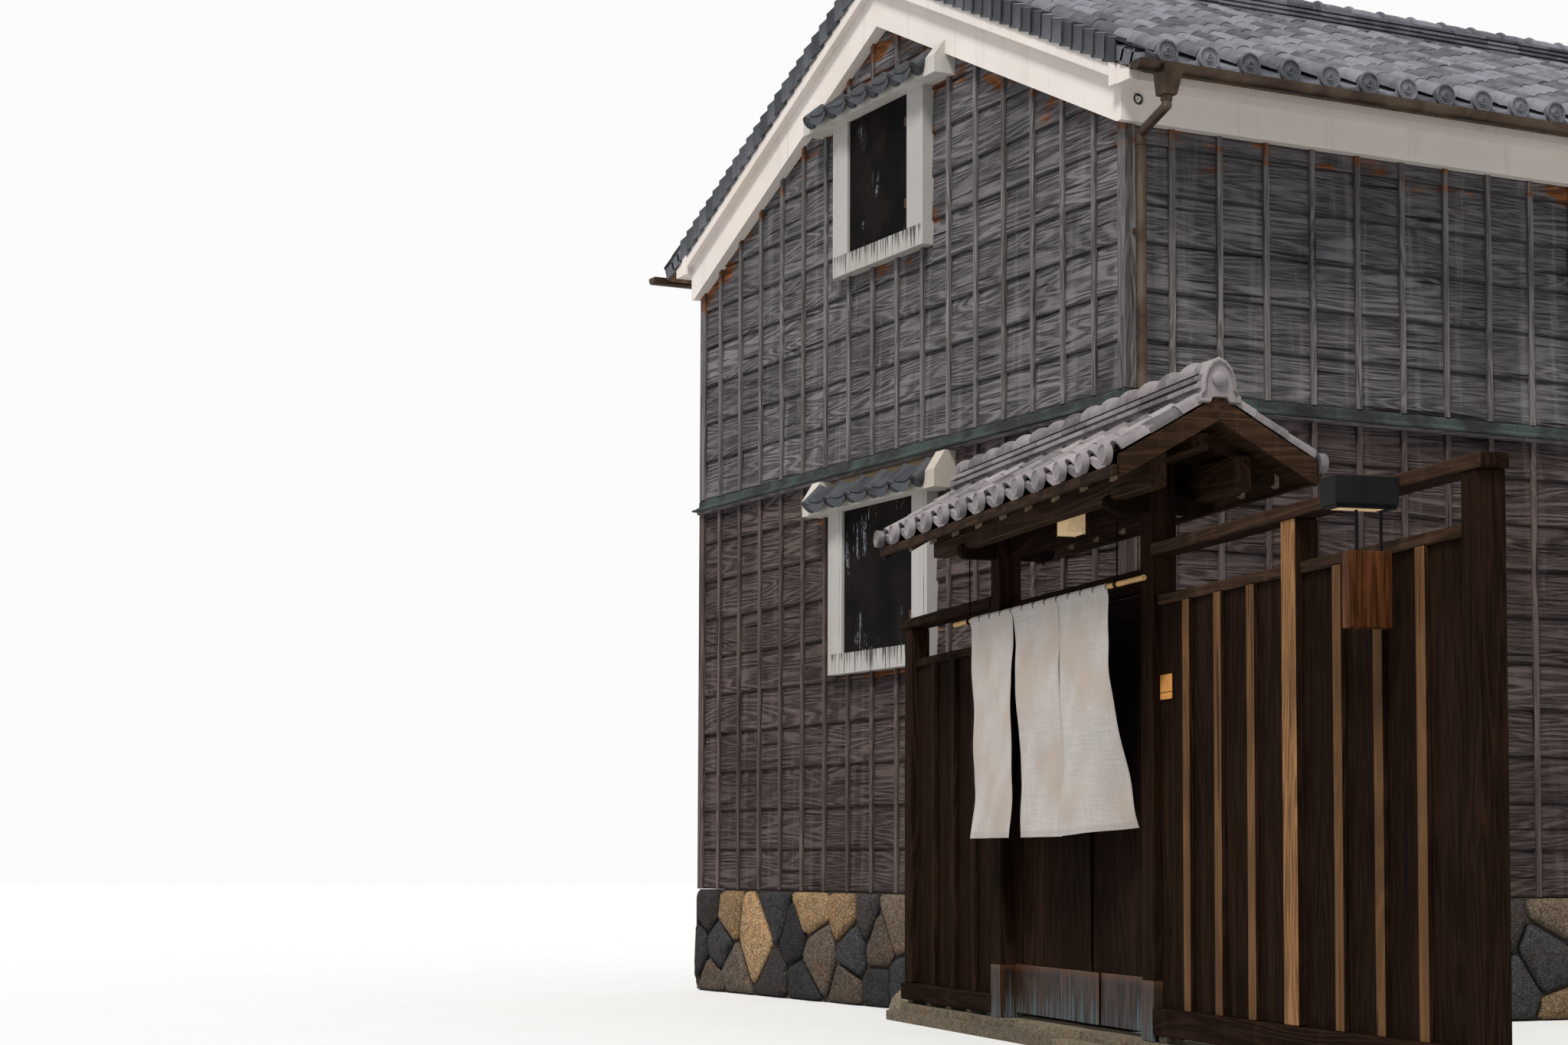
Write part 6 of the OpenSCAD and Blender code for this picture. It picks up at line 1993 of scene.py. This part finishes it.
class FenceOperator(bpy.types.Operator):
    """Sets the curb and builds the street fence"""
    bl_idname = "townhouse.fence"
    bl_label = "Curb and fence"

    def execute(self, context):
        m = MATERIALS
        split = street_box("gate_posts")[1].x - 0.01
        street_curb(m["granite"])
        timbers("fence_sill_beams", "fence_sills", [m["dark_wood"]], "dark_boards", seed=51)
        # Right of the split, the street faces of posts, beams and battens take painted sunlight
        timbers("fence_post_timbers", "fence_posts", [m["dark_wood"], m["brown_wood"]], "brown_wood", seed=52,
                split=split, until=street_box("fence_posts")[1].x - 0.3)
        timbers("fence_top_beams", "fence_beams", [m["dark_wood"], m["gate_wood"]], "brown_wood", seed=53,
                split=split)
        fence_infill([m["dark_wood"], m["batten_wood"]], split)
        return {"FINISHED"}


class GateOperator(bpy.types.Operator):
    """Builds the gate's timbers, roof, ridge and leaves"""
    bl_idname = "townhouse.gate"
    bl_label = "Gate"

    def execute(self, context):
        m = MATERIALS
        timbers("gate_post_timbers", "gate_posts", [m["dark_wood"]], "gate_wood", seed=54)
        timbers("gate_head_beams", "gate_beams", [m["dark_wood"]], "gate_wood", seed=55)
        timbers("gate_purlin_beams", "gate_purlins", [m["gate_wood"]], "gate_wood", seed=56)
        gate_tiles(m["gate_tile"])
        gate_roof_boards(m["gate_wood"])
        gate_ridge(m["gate_tile"])
        post_shoes(m["kick_plate"])
        rafter_ends(m["pale_paint"])
        for k, side in enumerate(("left", "right")):
            node = "gate_leaf_" + side
            gate_leaf(node + "_boards", node, side + "_leaf", [m["dark_wood"], m["kick_plate"], m["iron"]], k)
        return {"FINISHED"}


class HangingsOperator(bpy.types.Operator):
    """Hangs the curtain and fixes the lantern, the lamp and the bare plates"""
    bl_idname = "townhouse.hangings"
    bl_label = "Curtain and fittings"

    def execute(self, context):
        m = MATERIALS
        curtain(m["linen"], m["bamboo"], m["dark_wood"])
        lantern(m["lantern_paper"], m["black_metal"])
        lamp_and_sign(m["lantern_paper"], m["black_metal"])
        name_plate(m["brass_plate"])
        return {"FINISHED"}


STEPS = [StageOperator, FinishesOperator, PlinthOperator, SidingOperator, TrimOperator, RoofOperator,
         FenceOperator, GateOperator, HangingsOperator]


class TownhousePanel(bpy.types.Panel):
    """Settings and steps of the townhouse"""
    bl_idname = "VIEW3D_PT_townhouse"
    bl_label = "Townhouse"
    bl_space_type = "VIEW_3D"
    bl_region_type = "UI"
    bl_category = "Townhouse"

    def draw(self, context):
        for name, kind in SETTINGS.items():
            group_now = getattr(context.scene, name)
            box = self.layout.box()
            for prop in kind.__annotations__:
                box.prop(group_now, prop)
        for step in STEPS:
            self.layout.operator(step.bl_idname)


def register():
    for kind in [*SETTINGS.values(), *STEPS, TownhousePanel]:
        bpy.utils.register_class(kind)
    for name, kind in SETTINGS.items():
        setattr(bpy.types.Scene, name, bpy.props.PointerProperty(type=kind))


def unregister():
    for name in SETTINGS:
        delattr(bpy.types.Scene, name)
    for kind in reversed([*SETTINGS.values(), *STEPS, TownhousePanel]):
        bpy.utils.unregister_class(kind)


def main():
    register()
    for step in STEPS:
        place, word = step.bl_idname.split(".")
        getattr(getattr(bpy.ops, place), word)()
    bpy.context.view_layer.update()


if __name__ == "__main__":
    main()
